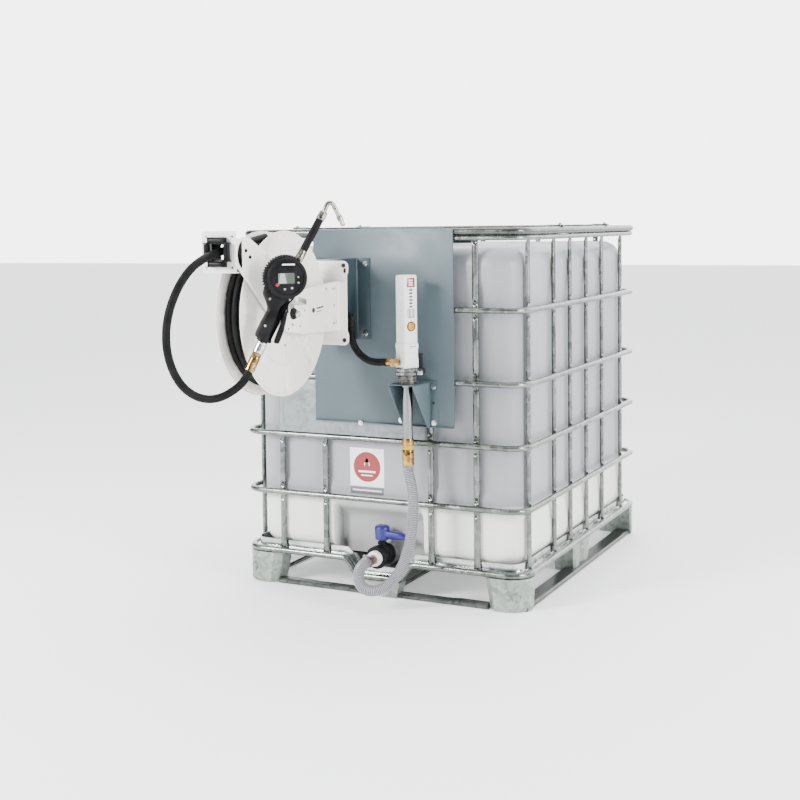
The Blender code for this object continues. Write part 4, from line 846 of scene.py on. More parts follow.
def fastener_tree():
    """A washer and a hexagon or domed head on every point, turned to the point's facing attribute."""
    tree, nodes, given = geometry_tree("fasteners", Head_Radius="Float", Head_Height="Float",
        Washer_Radius="Float", Washer_Height="Float", Head_Sides="Int")
    links = tree.links

    def drum(radius, height, sides):
        """A short cylinder standing on the point."""
        body = added(nodes, "GeometryNodeMeshCylinder", {"Radius": given[radius], "Depth": given[height]})
        if sides:
            links.new(given["Head Sides"], body.inputs["Vertices"])
        else:
            body.inputs["Vertices"].default_value = 28
        return body.outputs["Mesh"]

    def lifted(mesh, *heights):
        """The mesh raised by the sum of half the last height and all the others."""
        total = None
        for i, (name, share) in enumerate(heights):
            part = added(nodes, "Math", {1: share, 0: given[name]}, operation="MULTIPLY")
            if total is None:
                total = part.outputs[0]
            else:
                add = added(nodes, "Math", {0: total, 1: part.outputs[0]})
                total = add.outputs[0]
        up = added(nodes, "CombineXYZ", {"Z": total})
        moved = added(nodes, "GeometryNodeTransform", {"Geometry": mesh, "Translation": up.outputs["Vector"]})
        return moved.outputs["Geometry"]

    washer = lifted(drum("Washer Radius", "Washer Height", False), ("Washer Height", 0.5))
    head = lifted(drum("Head Radius", "Head Height", True), ("Washer Height", 1.0), ("Head Height", 0.5))
    slim = added(nodes, "Math", {1: 0.50, 0: given["Head Radius"]}, operation="MULTIPLY")
    thread = added(nodes, "GeometryNodeMeshCylinder",
        {"Vertices": 16, "Radius": slim.outputs[0], "Depth": given["Head Height"]})
    tip = lifted(thread.outputs["Mesh"], ("Washer Height", 1.0), ("Head Height", 0.78))
    both = added(nodes, "GeometryNodeJoinGeometry")
    for part in (washer, head, tip):
        links.new(part, both.inputs["Geometry"])
    facing = added(nodes, "GeometryNodeInputNamedAttribute", {"Name": "facing"}, data_type="FLOAT_VECTOR")
    aim = added(nodes, "FunctionNodeAlignRotationToVector", {"Vector": facing.outputs["Attribute"]}, axis="Z")
    placed = added(nodes, "GeometryNodeInstanceOnPoints",
        {"Points": given["Geometry"], "Instance": both.outputs["Geometry"],
        "Rotation": aim.outputs["Rotation"]})
    finished(nodes, given, placed.outputs["Instances"])
    return tree


fastener = fastener_tree()


def fasteners(name, places, finish, head, washer, sides=6, body="container"):
    """Screws at (point, facing) places; head and washer are (radius, height)."""
    source = bpy.data.meshes.new(name)
    source.from_pydata([place for place, _ in places], [], [])
    facing = source.attributes.new("facing", "FLOAT_VECTOR", "POINT")
    for item, (_, direction) in zip(facing.data, places):
        item.vector = direction
    values = {"Head Radius": head[0], "Head Height": head[1], "Washer Radius": washer[0],
        "Washer Height": washer[1], "Head Sides": sides, "Finish": finish}
    return grown(name, fastener, source, values, body, [])


zinc_bolt = zinc("zinc_bolt", (0.40, 0.42, 0.42), (0.82, 0.84, 0.84), (0.14, 0.28), 260.0, 1.0, bump=0.2)
black_bolt = zinc("black_bolt", (0.015, 0.015, 0.016), (0.06, 0.06, 0.065), (0.22, 0.4), 260.0, 0.8, bump=0.2)
UP, FORWARD, BACKWARD, SIDEWAYS = (0.0, 0.0, 1.0), (0.0, -1.0, 0.0), (0.0, 1.0, 0.0), (1.0, 0.0, 0.0)
fasteners("crossbar_screws", [((side * 0.484, y, crossbar_top + 0.0058), UP) for side in (-1, 1)
    for y in CROSSBARS_Y], zinc_bolt, (0.0055, 0.0040), (0.0085, 0.0012))

# Label plate and sticker. A shallow tray of plain zinc-coated sheet is clipped over the left front bars; below it a
# printed film with plain shapes is stuck on the bottle.
LABEL_X, LABEL_Z, LABEL_FRONT_Y = (-0.350, 0.170), (0.509, 0.680), -0.5985
label_back = -0.5795
(x0, x1), (z0, z1) = LABEL_X, LABEL_Z
tray = slab([(x0, label_back), (x0, LABEL_FRONT_Y), (x1, LABEL_FRONT_Y), (x1, label_back),
    (x1 - 0.0015, label_back), (x1 - 0.0015, LABEL_FRONT_Y + 0.0015), (x0 + 0.0015, LABEL_FRONT_Y + 0.0015),
    (x0 + 0.0015, label_back)], on_z, z0, z1, 0.0006)
beads = []
for low, high in (((x0 + 0.014, z0 + 0.014), (x1 - 0.014, z0 + 0.0165)),
        ((x0 + 0.014, z1 - 0.0165), (x1 - 0.014, z1 - 0.014)),
        ((x0 + 0.014, z0 + 0.014), (x0 + 0.0165, z1 - 0.014)),
        ((x1 - 0.0165, z0 + 0.014), (x1 - 0.014, z1 - 0.014))):
    beads.append(box((low[0], LABEL_FRONT_Y - 0.0007, low[1]), (high[0], LABEL_FRONT_Y + 0.0005, high[1]),
        0.0005))
sheet_zinc = zinc("sheet_zinc", (0.15, 0.17, 0.175), (0.23, 0.255, 0.26), (0.34, 0.46), 70.0, 0.45, bump=0.2)
piece("label_tray", [tray, *beads], sheet_zinc, "container", ["label_plate"])


def printed(name, colour, roughness=0.30):
    """Printed vinyl film: flat ink with a faint paper-like unevenness."""
    material, nodes, links, shader = principled(name, colour, roughness, Coat_Weight=0.25)
    where = added(nodes, "TexCoord")
    fine = added(nodes, "TexNoise", {"Scale": 60.0, "Detail": 8.0, "Vector": where.outputs["Object"]})
    tone = ramp(nodes, fine.outputs["Fac"], (0.3, [c * 0.92 for c in colour]), (0.7, colour))
    gloss = added(nodes, "MapRange", {"To Min": roughness - 0.06, "To Max": roughness + 0.10,
        "Value": fine.outputs["Fac"]})
    fed(shader, Base_Color=tone.outputs["Color"], Roughness=gloss.outputs["Result"])
    return material


def on_front(x, z, depth):
    """A point on an upright sheet, depth in front of its plane."""
    return (x, -depth, z)


film_back = 0.5655
film_white = printed("film_white", (0.90, 0.90, 0.89))
piece("sticker_white", [slab([(-0.109, 0.342), (0.012, 0.342), (0.012, 0.465), (-0.109, 0.465)], on_front,
    film_back, film_back + 0.0010, 0.0003)], film_white)
piece("sticker_disc", [slab(arc((-0.048, 0.405), 0.0480, 0.0, 357.5, 143), on_front, film_back + 0.0009,
    film_back + 0.0013)], printed("film_red", (0.24, 0.001, 0.002)))
shapes = [slab(arc((-0.048, 0.413), 0.0100, -35.0, 215.0, 20) + [(-0.048, 0.436)], on_front,
    film_back + 0.0012, film_back + 0.0016), slab([(-0.078, 0.387), (-0.018, 0.387), (-0.018, 0.393),
    (-0.078, 0.393)], on_front, film_back + 0.0012, film_back + 0.0016, 0.0001),
    slab([(-0.068, 0.376), (-0.028, 0.376), (-0.028, 0.380), (-0.068, 0.380)], on_front, film_back + 0.0012,
    film_back + 0.0016, 0.0001)]
piece("sticker_shapes", shapes, film_white)
piece("sticker_strip", [slab([(-0.108, 0.317), (0.0105, 0.317), (0.0105, 0.340), (-0.108, 0.340)], on_front,
    film_back, film_back + 0.0010, 0.0003)], printed("film_grey", (0.13, 0.135, 0.15)))
piece("sticker_rule", [slab([(-0.100, 0.3275), (0.0030, 0.3275), (0.0030, 0.3315), (-0.100, 0.3315)],
    on_front, film_back + 0.0009, film_back + 0.0013)], film_white)

# Wall plate. One sheet of painted steel, its top hooked over the rim and its lower edge folded forward; a spring
# clip holds it to the label plate. The paint is a blue-grey powder coat.
def enamel(name, colour, roughness=(0.28, 0.42), cloudy=0.90, peel=260.0, strength=0.10,
        tint=(1.0, 1.0, 1.0)):
    """Powder coat: a slow change of tone, a fine orange-peel surface and a few dull patches."""
    material, nodes, links, shader = principled(name, colour, 0.35, Coat_Weight=0.05, Coat_Roughness=0.30,
        Specular_IOR_Level=0.30)
    where = added(nodes, "TexCoord")
    slow = added(nodes, "TexNoise", {"Scale": 3.2, "Detail": 5.0, "Vector": where.outputs["Object"]})
    tone = ramp(nodes, slow.outputs["Fac"], (0.32, [c * cloudy * t for c, t in zip(colour, tint)]),
        (0.62, colour))
    dull = added(nodes, "TexNoise", {"Scale": 11.0, "Detail": 9.0, "Roughness": 0.65,
        "Vector": where.outputs["Object"]})
    gloss = added(nodes, "MapRange", {"From Min": 0.35, "From Max": 0.70, "To Min": roughness[0],
        "To Max": roughness[1], "Value": dull.outputs["Fac"]})
    grain = added(nodes, "TexNoise", {"Scale": peel, "Detail": 2.0, "Vector": where.outputs["Object"]})
    skin = added(nodes, "Bump", {"Strength": strength, "Distance": 0.0005, "Height": grain.outputs["Fac"]})
    fed(shader, Base_Color=tone.outputs["Color"], Roughness=gloss.outputs["Result"],
        Normal=skin.outputs["Normal"])
    return material


def rounded(x0, z0, x1, z1, radius, steps=5):
    """Corner points of a rectangle with round corners."""
    points = []
    for cx, cz, start in ((x1 - radius, z0 + radius, -90), (x1 - radius, z1 - radius, 0),
            (x0 + radius, z1 - radius, 90), (x0 + radius, z0 + radius, 180)):
        points += arc((cx, cz), radius, start, start + 90, steps)
    return points


PLATE_FRONT, PLATE_BACK = 0.6057, 0.6027
plate_grey = enamel("plate_blue_grey", (0.074, 0.106, 0.120), (0.34, 0.50), 0.86, strength=0.07)
plate = slab(rounded(-0.210, 0.552, 0.274, 1.1595, 0.003, 3), on_front, PLATE_BACK, PLATE_FRONT, 0.0005)
lip = slab(rounded(-0.2095, 0.5522, 0.2735, 0.5548, 0.0010, 2), on_front, PLATE_BACK + 0.001, 0.6125, 0.0005)
top, leg_out, leg_in, front, back = RIM_HEIGHT + 0.0145, 0.5757, 0.5787, PLATE_FRONT - 0.0001, PLATE_BACK
hook_outline = ([(-front, 1.1575)] + arc((-front + 0.0035, top - 0.0035), 0.0035, 180, 90, 4)
    + arc((-leg_out - 0.0035, top - 0.0035), 0.0035, 90, 0, 4) + [(-leg_out, 1.142), (-leg_in, 1.142),
    (-leg_in, top - 0.003), (-back, top - 0.003), (-back, 1.1575)])
hook = slab(hook_outline, on_x, -0.038, 0.229, 0.0004)
piece("hung_plate", [plate, lip, hook], plate_grey, "container", ["wall_plate"], 40.0)
fasteners("plate_clip", [((-0.044, -0.6128, 0.5530), FORWARD)], zinc_bolt, (0.0040, 0.0030), (0.0075, 0.0010),
    10)

# Reel bracket. A channel of folded sheet stands on the wall plate, and four bolts go through its side flanges. A black
# elbow at its right edge takes the feed hose into the reel's shaft.
x0, x1, web0, web1, z0, z1 = -0.208, -0.007, -0.168, -0.052, 0.817, 1.070
foot, rise = 0.6062, 0.705
channel_outline = [(x0, -foot), (x0, -foot - 0.003), (web0 - 0.003, -foot - 0.003), (web0, -foot - 0.006),
    (web0, -rise + 0.003), (web0 + 0.003, -rise), (web1 - 0.003, -rise), (web1, -rise + 0.003),
    (web1, -foot - 0.006), (web1 + 0.003, -foot - 0.003), (x1, -foot - 0.003), (x1, -foot), (web1, -foot),
    (web1 - 0.003, -foot - 0.003), (web1 - 0.003, -rise + 0.0035), (web1 - 0.0035, -rise + 0.003),
    (web0 + 0.0035, -rise + 0.003), (web0 + 0.003, -rise + 0.0035), (web0 + 0.003, -foot - 0.003),
    (web0, -foot)]
# Painted shade: the channel's blue-grey is a much darker copy of the wall plate's paint, standing in for the shadow on
# it.
bracket_shaded_grey = enamel("bracket_shaded_blue_grey", (0.026, 0.045, 0.054), (0.30, 0.46), 0.84, strength=0.08)
piece("reel_channel", [slab(channel_outline, on_z, z0, z1, 0.0005)], bracket_shaded_grey, "container",
    ["reel_bracket"], 40.0)
fasteners("reel_channel_bolts", [((x, -foot - 0.0028, z), FORWARD) for x in (-0.194, -0.023)
    for z in (z0 + 0.018, z1 - 0.018)], zinc_bolt, (0.0055, 0.0050), (0.0085, 0.0014))
ELBOW_Y = -0.680
elbow_path = [Vector((x, ELBOW_Y, z)) for x, z in ((-0.0530, 0.8980), (-0.0490, 0.8980), (-0.0450, 0.8974),
    (-0.0410, 0.8950), (-0.0385, 0.8915), (-0.0370, 0.8870), (-0.0365, 0.8820), (-0.0365, 0.8648))]
elbow_black = black_moulding("elbow_black", (0.006, 0.006, 0.006), (0.25, 0.42))
elbow_parts = [tube(elbow_path, 0.0100, 20), lathe([(-0.0535, 0.0080), (-0.0535, 0.0116), (-0.0500, 0.0122),
    (-0.0470, 0.0118), (-0.0462, 0.0100)], (0, ELBOW_Y, 0.8980), SIDEWAYS, 24),
    lathe([(0.8650, 0.0085), (0.8648, 0.0124), (0.8700, 0.0128), (0.8715, 0.0122), (0.8745, 0.0128),
    (0.8760, 0.0122), (0.8785, 0.0104)], (-0.0365, ELBOW_Y, 0), UP, 28)]
piece("feed_elbow", elbow_parts, elbow_black, "container", [])

# Pump bracket. A shelf with two slanted gussets, each with a flange bolted to the wall plate; one flange hole stays
# empty.
gx0, gx1, gy0, gz0, gz1 = 0.112, 0.196, -0.6062, 0.551, 0.695
sheet = 0.003
shelf_parts = [slab(rounded(gx0, -0.7300, gx1, gy0, 0.0018, 3), on_z, gz1 - sheet, gz1, 0.0005)]
gusset = [(gy0, gz0), (gy0, gz1 - 0.0005), (-0.7295, gz1 - 0.0005), (-0.7300, gz1 - 0.008),
    (gy0 - 0.020, gz0)]
shelf_parts += [slab(gusset, on_x, x, x + sheet, 0.0005) for x in (gx0, gx1 - sheet)]
for low, high in ((0.086, gx0 + sheet), (gx1 - sheet, 0.220)):
    flange = slab(rounded(low, gz0, high, gz1, 0.004, 4), on_front, -gy0, -gy0 + sheet, 0.0004)
    shelf_parts.append(flange)
piece("pump_shelf", shelf_parts, plate_grey, "container", ["pump_bracket"], 40.0)
bolt_front = gy0 - sheet + 0.0002
fasteners("pump_shelf_bolts", [((0.2065, bolt_front, 0.677), FORWARD), ((0.2065, bolt_front, 0.567), FORWARD),
    ((0.0960, bolt_front, 0.569), FORWARD), ((0.0960, bolt_front, 0.677), FORWARD)], zinc_bolt,
    (0.0062, 0.0052), (0.0088, 0.0014), 10)
# Painted shade: each empty hole is a dark disc standing in for the shadow inside it.
holes = [lathe([(0.6085, 0.0038), (0.6096, 0.0036), (0.6095, 0.0026)], (x, 0, 0.628), FORWARD, 20)
    for x in (0.2065, 0.0960)]
piece("empty_holes", holes, black_moulding("hole_painted_shade", (0.010, 0.011, 0.012)), "container", [])

# Pump. An air-driven piston pump in a white painted case, square with round corners and turned a little to the left;
# printed film on its lit face, an orange window and a brass inlet.
PUMP_X, PUMP_Y, PUMP_TURN, FACE_TURN = 0.155, -0.685, math.radians(-31.0), math.radians(59.0)
pump_white = enamel("pump_white", (0.80, 0.80, 0.80), (0.22, 0.34), 0.93, 320.0, 0.06)


def case_loop(half, radius, z, grow=0.0):
    """One level of the pump's case: a square with round corners, turned on its own axis."""
    return [(PUMP_X + x * math.cos(PUMP_TURN) - y * math.sin(PUMP_TURN),
        PUMP_Y + x * math.sin(PUMP_TURN) + y * math.cos(PUMP_TURN), z) for x,
        y in rounded(-half - grow, -half - grow, half + grow, half + grow, radius, 6)]


levels = [(0.7427, 0.0255, 0.0065), (0.7435, 0.0266, 0.0072), (0.7450, 0.0270, 0.0075),
    (0.7700, 0.0270, 0.0075), (0.7712, 0.0262, 0.0070), (0.7730, 0.0257, 0.0068), (0.7990, 0.0257, 0.0068),
    (0.8015, 0.0262, 0.0070), (0.8030, 0.0270, 0.0075), (0.8135, 0.0270, 0.0075), (0.8155, 0.0266, 0.0073),
    (0.8180, 0.0248, 0.0066), (0.8195, 0.0245, 0.0065), (1.0130, 0.0245, 0.0065), (1.0165, 0.0243, 0.0064),
    (1.0195, 0.0234, 0.0060), (1.0215, 0.0220, 0.0055), (1.0218, 0.0190, 0.0050)]
piece("pump_case", [loft([case_loop(half, radius, z) for z, half, radius in levels])], pump_white,
    "container", ["pump_body"], 42.0)


def on_case(across, z, out):
    """A point on the pump's lit face, out in front of it."""
    return (PUMP_X + across * math.cos(FACE_TURN) + (0.0245 + out) * math.sin(FACE_TURN),
        PUMP_Y + across * math.sin(FACE_TURN) - (0.0245 + out) * math.cos(FACE_TURN), z)


piece("pump_film_red", [slab([(-0.0138, 0.9855), (0.0138, 0.9855), (0.0138, 1.0130), (-0.0138, 1.0130)],
    on_case, -0.0002, 0.0004, 0.0001)], bpy.data.materials["film_red"])
bars = [slab([(-0.0072, z), (0.0072, z), (0.0072, z + 0.0038), (-0.0072, z + 0.0038)], on_case, 0.0003,
    0.0007, 0.0001) for z in (0.9905, 0.9973, 1.0041)]
piece("pump_film_bars", bars, film_white)
film_black = printed("film_black", (0.035, 0.035, 0.040))
marks = [slab([(-0.0056, z), (0.0056, z), (0.0056, z + 0.0056), (-0.0056, z + 0.0056)], on_case, -0.0002,
    0.0004, 0.0001) for z in [0.9245 + 0.0100 * k for k in range(6)]]
marks += [slab([(low, 0.8960), (high, 0.8960), (high, 0.9190), (low, 0.9190)], on_case, -0.0002, 0.0004,
    0.0001) for low, high in ((-0.0120, -0.0098), (-0.0060, -0.0022), (0.0030, 0.0050), (0.0088, 0.0120))]
marks += [slab([(-0.0120, z), (0.0120, z), (0.0120, z + 0.0016), (-0.0120, z + 0.0016)], on_case, -0.0002,
    0.00045, 0.0001) for z in (0.8945, 0.9188)]
marks += [slab([(-0.0085 + 0.0062 * k, 0.8060), (-0.0048 + 0.0062 * k, 0.8060),
    (-0.0048 + 0.0062 * k, 0.8092), (-0.0085 + 0.0062 * k, 0.8092)], on_case, 0.0023, 0.0029, 0.0001)
    for k in range(4)]
piece("pump_film_marks", marks, film_black)
face_turn = Matrix.Translation(on_case(0.0, 0.868, 0.0)) @ Matrix.Rotation(FACE_TURN, 4,
    "Z") @ Matrix.Rotation(math.pi / 2, 4, "X")


def on_face(mesh):
    """A shape made lying on Z, stood on the pump's lit face."""
    bmesh.ops.transform(mesh, matrix=face_turn, verts=mesh.verts)
    return mesh


piece("window_ring", [on_face(lathe([(-0.0010, 0.0118), (0.0014, 0.0124), (0.0022, 0.0133), (0.0020, 0.0143),
    (0.0005, 0.0149), (-0.0010, 0.0150)], (0, 0, 0), UP, 40, False))],
    black_moulding("ring_black", (0.02, 0.02, 0.021)))
piece("window_disc", [on_face(lathe([(-0.0008, 0.0122), (0.0012, 0.0121), (0.0019, 0.0112), (0.0023, 0.0070)],
    (0, 0, 0), UP, 40))], moulded_plastic("window_orange", (0.50, 0.21, 0.001), 0.22, 0.82, 260.0, 0.4))
pump_brass = zinc("pump_brass", (0.17, 0.085, 0.02), (0.58, 0.38, 0.13), (0.20, 0.36), 160.0, 1.0, bump=0.3)
INLET_Y, INLET_Z = -0.718, 0.760
brass_parts = [lathe([(0.1022, 0.0060), (0.1022, 0.0088), (0.1045, 0.0106), (0.1062, 0.0094),
    (0.1080, 0.0106), (0.1098, 0.0094), (0.1118, 0.0106), (0.1140, 0.0094), (0.1172, 0.0094),
    (0.1176, 0.0108), (0.1190, 0.0112)], (0, INLET_Y, INLET_Z), SIDEWAYS, 28),
    lathe([(0.1188, 0.0098), (0.1192, 0.0126), (0.1202, 0.0132), (0.1302, 0.0132), (0.1312, 0.0124),
    (0.1450, 0.0100)], (0, INLET_Y, INLET_Z), SIDEWAYS, 6, start=0.3)]
piece("inlet_union", brass_parts, pump_brass, "container", [], 28.0)

# Pump clamp. Between pump and shelf stand a clamp ring with an ear and a thumb screw, and a dark ribbed adapter. The
# bright suction tube hangs under the shelf, with a brass end that the suction hose is pushed on.
chrome = zinc("chrome_tube", (0.10, 0.105, 0.11), (0.46, 0.475, 0.485), (0.07, 0.18), 60.0, 1.0,
    streak=(1.0, 1.0, 0.06), bump=0.06)
dark_cast = zinc("dark_cast", (0.035, 0.035, 0.033), (0.22, 0.21, 0.19), (0.28, 0.5), 120.0, 0.8, bump=0.6)
axis = (PUMP_X, PUMP_Y, 0)
tube_parts = [lathe([(0.5265, 0.0120), (0.5265, 0.0148), (0.5275, 0.0150), (0.6930, 0.0150),
    (0.6940, 0.0120)], axis, UP, 36), lathe([(0.6850, 0.0150), (0.6850, 0.0205), (0.6862, 0.0215),
    (0.6905, 0.0215), (0.6917, 0.0205), (0.6917, 0.0140)], axis, UP, 36)]
piece("chrome_tube", tube_parts, chrome, "container", ["suction_tube"])
ribs = [(0.6957, 0.0260), (0.6960, 0.0288), (0.6985, 0.0290)]
for level in (0.7005, 0.7060, 0.7115):
    ribs += [(level, 0.0272), (level + 0.0018, 0.0270), (level + 0.0026, 0.0287), (level + 0.0044, 0.0287)]
ribs += [(0.7178, 0.0268), (0.7200, 0.0265), (0.7204, 0.0240)]
piece("cast_adapter", [lathe(ribs, axis, UP, 40)], dark_cast, "container", [], 28.0)
ear_turn = math.radians(18.0)
ring_parts = [lathe([(0.7203, 0.0285), (0.7206, 0.0345), (0.7225, 0.0358), (0.7290, 0.0358), (0.7308, 0.0346),
    (0.7312, 0.0330), (0.7330, 0.0338), (0.7350, 0.0350), (0.7405, 0.0350), (0.7420, 0.0338),
    (0.7422, 0.0265)], axis, UP, 44)]
piece("clamp_ring", ring_parts, chrome, "container", [], 30.0)
ear = Matrix.Translation((PUMP_X, PUMP_Y, 0)) @ Matrix.Rotation(ear_turn, 4, "Z")


def on_ear(mesh):
    bmesh.ops.transform(mesh, matrix=ear, verts=mesh.verts)
    return mesh


ear_parts = [on_ear(box((0.0300, -0.0090, 0.7212), (0.0480, -0.0035, 0.7398), 0.0015)),
    on_ear(box((0.0300, 0.0035, 0.7212), (0.0480, 0.0090, 0.7398), 0.0015)),
    on_ear(lathe([(-0.0240, 0.0030), (-0.0240, 0.0044), (-0.0232, 0.0047), (-0.0135, 0.0047),
    (-0.0125, 0.0040), (-0.0090, 0.0034), (0.0150, 0.0034), (0.0156, 0.0028)], (0.0405, 0, 0.7305), BACKWARD,
    20))]
piece("clamp_ear", ear_parts, chrome, "container", [], 30.0)
knob = lathe([(0.0120, 0.0095), (0.0125, 0.0120), (0.0150, 0.0128), (0.0215, 0.0128), (0.0240, 0.0118),
    (0.0250, 0.0090)], (0.0405, 0, 0.7305), BACKWARD, 12)
piece("clamp_knob", [on_ear(knob), on_ear(box((0.0290, 0.0100, 0.7215), (0.0465, 0.0160, 0.7860), 0.0020))],
    black_moulding("knob_black", (0.014, 0.018, 0.018), (0.3, 0.5)), "container", [], 30.0)
copper_end = zinc("copper_end", (0.13, 0.05, 0.015), (0.52, 0.31, 0.09), (0.20, 0.36), 110.0, 1.0, bump=0.3)
end_parts = [lathe([(0.4452, 0.0105), (0.4452, 0.0148), (0.4470, 0.0172), (0.4486, 0.0176), (0.4920, 0.0176),
    (0.4936, 0.0170), (0.4950, 0.0152)], axis, UP, 36),
    lathe([(0.5072, 0.0140), (0.5076, 0.0172), (0.5090, 0.0176), (0.5262, 0.0176), (0.5276, 0.0170),
    (0.5280, 0.0151)], axis, UP, 36)]
piece("copper_end", end_parts, copper_end, "container", [])
piece("end_band", [lathe([(0.4948, 0.0140), (0.4952, 0.0176), (0.4965, 0.0181), (0.5058, 0.0181),
    (0.5070, 0.0176), (0.5074, 0.0140)], axis, UP, 36)],
    moulded_plastic("band_yellow", (0.50, 0.34, 0.004), 0.35))
# Painted shade: the vent hole is a dark ring standing in for the shadow inside it.
vent = lathe([(0.0150, 0.0018), (0.0178, 0.0027), (0.0180, 0.0030), (0.0172, 0.0034), (0.0150, 0.0034)],
    (0, 0, 0.5155), BACKWARD, 16)
bmesh.ops.transform(vent, matrix=Matrix.Translation((PUMP_X, PUMP_Y,
    0)) @ Matrix.Rotation(math.radians(150.0), 4, "Z"), verts=vent.verts)
piece("vent_hole", [vent], black_moulding("vent_painted_shade", (0.010, 0.010, 0.010)), "container", [])

# Reel stand. A base plate bolted on the channel and an upright side plate that carries the reel's shaft, both of
# white painted sheet; screws, slots and a plain printed mark on the side plate.
def smooth_loop(points, per=5):
    """A closed curve through flat points, with per steps from each point to the next."""
    count, result = len(points), []
    for i in range(count):
        a, b, c, d = (Vector(points[(i + k) % count]) for k in (-1, 0, 1, 2))
        for step in range(per):
            t = step / per
            result.append(tuple(0.5 * ((2 * b) + (c - a) * t + (2 * a - 5 * b + 4 * c - d) * t ** 2
                + (3 * b - a - 3 * c + d) * t ** 3)))
    return result


def pulled_in(outline, distance):
    """The outline moved towards its inside by a small distance."""
    count = len(outline)
    area = sum(outline[i][0] * outline[(i + 1) % count][1] - outline[(i + 1) % count][0] * outline[i][1]
        for i in range(count))
    way = 1.0 if area > 0 else -1.0
    moved = []
    for i in range(count):
        (ax, ay), (bx, by), (cx, cy) = outline[i - 1], outline[i], outline[(i + 1) % count]
        one, two = Vector((-(by - ay), bx - ax)), Vector((-(cy - by), cx - bx))
        normal = (one.normalized() + two.normalized()).normalized() if one.length and two.length else Vector(
            (0, 0))
        moved.append((bx + way * distance * normal.x, by + way * distance * normal.y))
    return moved


def pillow(outline, place, low, high, edge, steps=4):
    """A solid between two depths whose edges are rounded by a quarter circle of the edge's radius."""
    loops = []
    for i in range(steps + 1):
        t = math.pi / 2 * i / steps
        loops.append((edge * (1 - math.sin(t)), low + edge * (1 - math.cos(t))))
    for i in range(steps + 1):
        t = math.pi / 2 * (1 - i / steps)
        loops.append((edge * (1 - math.sin(t)), high - edge * (1 - math.cos(t))))
    return loft([[place(a, b, depth) for a, b in pulled_in(outline, inset)] for inset, depth in loops])


REEL_Y, REEL_Z = -0.985, 0.921
reel_white = enamel("reel_white", (0.83, 0.81, 0.78), (0.24, 0.38), 0.90, 300.0, 0.07, (1.0, 0.975, 0.94))
plate_outline = rounded(-0.190, 0.806, -0.0300, 1.064, 0.016, 6)
notched = []
for x, z in plate_outline:
    notched.append((x, z))
    if abs(x + 0.030) < 0.0005 and abs(z - 0.822) < 0.001:
        notched += [(-0.0300, 0.838), (-0.0312, 0.844), (-0.0345, 0.848), (-0.0345, 1.022), (-0.0312, 1.026),
            (-0.0300, 1.032)]
base_parts = [pillow(notched, on_front, 0.7055, 0.7100, 0.0012, 3)]
piece("reel_base_plate", base_parts, reel_white, "container", ["reel_base"], 40.0)
base_front = -0.7099
fasteners("reel_base_bolts", [((x, base_front, z), FORWARD) for x,
    z in ((-0.0445, 1.0500), (-0.0445, 0.8215), (-0.1750, 1.0500), (-0.1750, 0.8215))], black_bolt,
    (0.0050, 0.0046), (0.0068, 0.0012))
# Painted shade: the slots are dark pieces standing in for the shadow inside them.
slot_painted_shade = black_moulding("slot_painted_shade", (0.030, 0.028, 0.026), (0.5, 0.7))
slots = [slab(smooth_loop([(x - 0.0035, z - 0.006), (x + 0.0035, z - 0.006), (x + 0.0035, z + 0.006),
    (x - 0.0035, z + 0.006)], 4), on_front, 0.7096, 0.7103) for x,
    z in ((-0.0405, 1.0345), (-0.1790, 1.0345))]
piece("base_slots", slots, slot_painted_shade, "container", [])

SIDE_OUT, SIDE_IN = -0.0620, -0.0730
side_outline = ([(-0.7078, 0.850), (-0.7078, 1.003), (-0.900, 0.988)] + arc((REEL_Y, REEL_Z), 0.055, 74.0,
    250.0, 22) + [(-0.930, 0.858)])
side_parts = [pillow(side_outline, on_x, SIDE_IN, SIDE_OUT, 0.0022, 4)]
side_parts.append(pillow([(-0.7098, 0.852), (-0.7098, 1.001), (-0.7130, 1.001), (-0.7130, 0.852)], on_x,
    -0.0640, -0.0385, 0.0008, 2))
side_parts.append(slab([(y, x) for x, y in ((-0.0630, -0.7262), (-0.0606, -0.7262), (-0.0590, -0.7205),
    (-0.0556, -0.7168), (-0.0500, -0.7140), (-0.0440, -0.7128), (-0.0440, -0.7100), (-0.0630, -0.7100))],
    lambda y, x, z: (x, y, z), 0.852, 1.001, 0.0004))
piece("reel_side_plate", side_parts, reel_white, "container", [], 30.0)
screw_steel = zinc("screw_steel", (0.22, 0.22, 0.22), (0.62, 0.62, 0.60), (0.2, 0.4), 240.0, 1.0, bump=0.2)
fasteners("side_plate_screws", [((SIDE_OUT - 0.0003, y, z), SIDEWAYS) for y,
    z in ((-0.7440, 0.981), (-0.7400, 0.930), (-0.7430, 0.876), (-0.9880, 0.889), (-0.7900, 0.982))],
    screw_steel, (0.0030, 0.0022), (0.0042, 0.0008), 16)
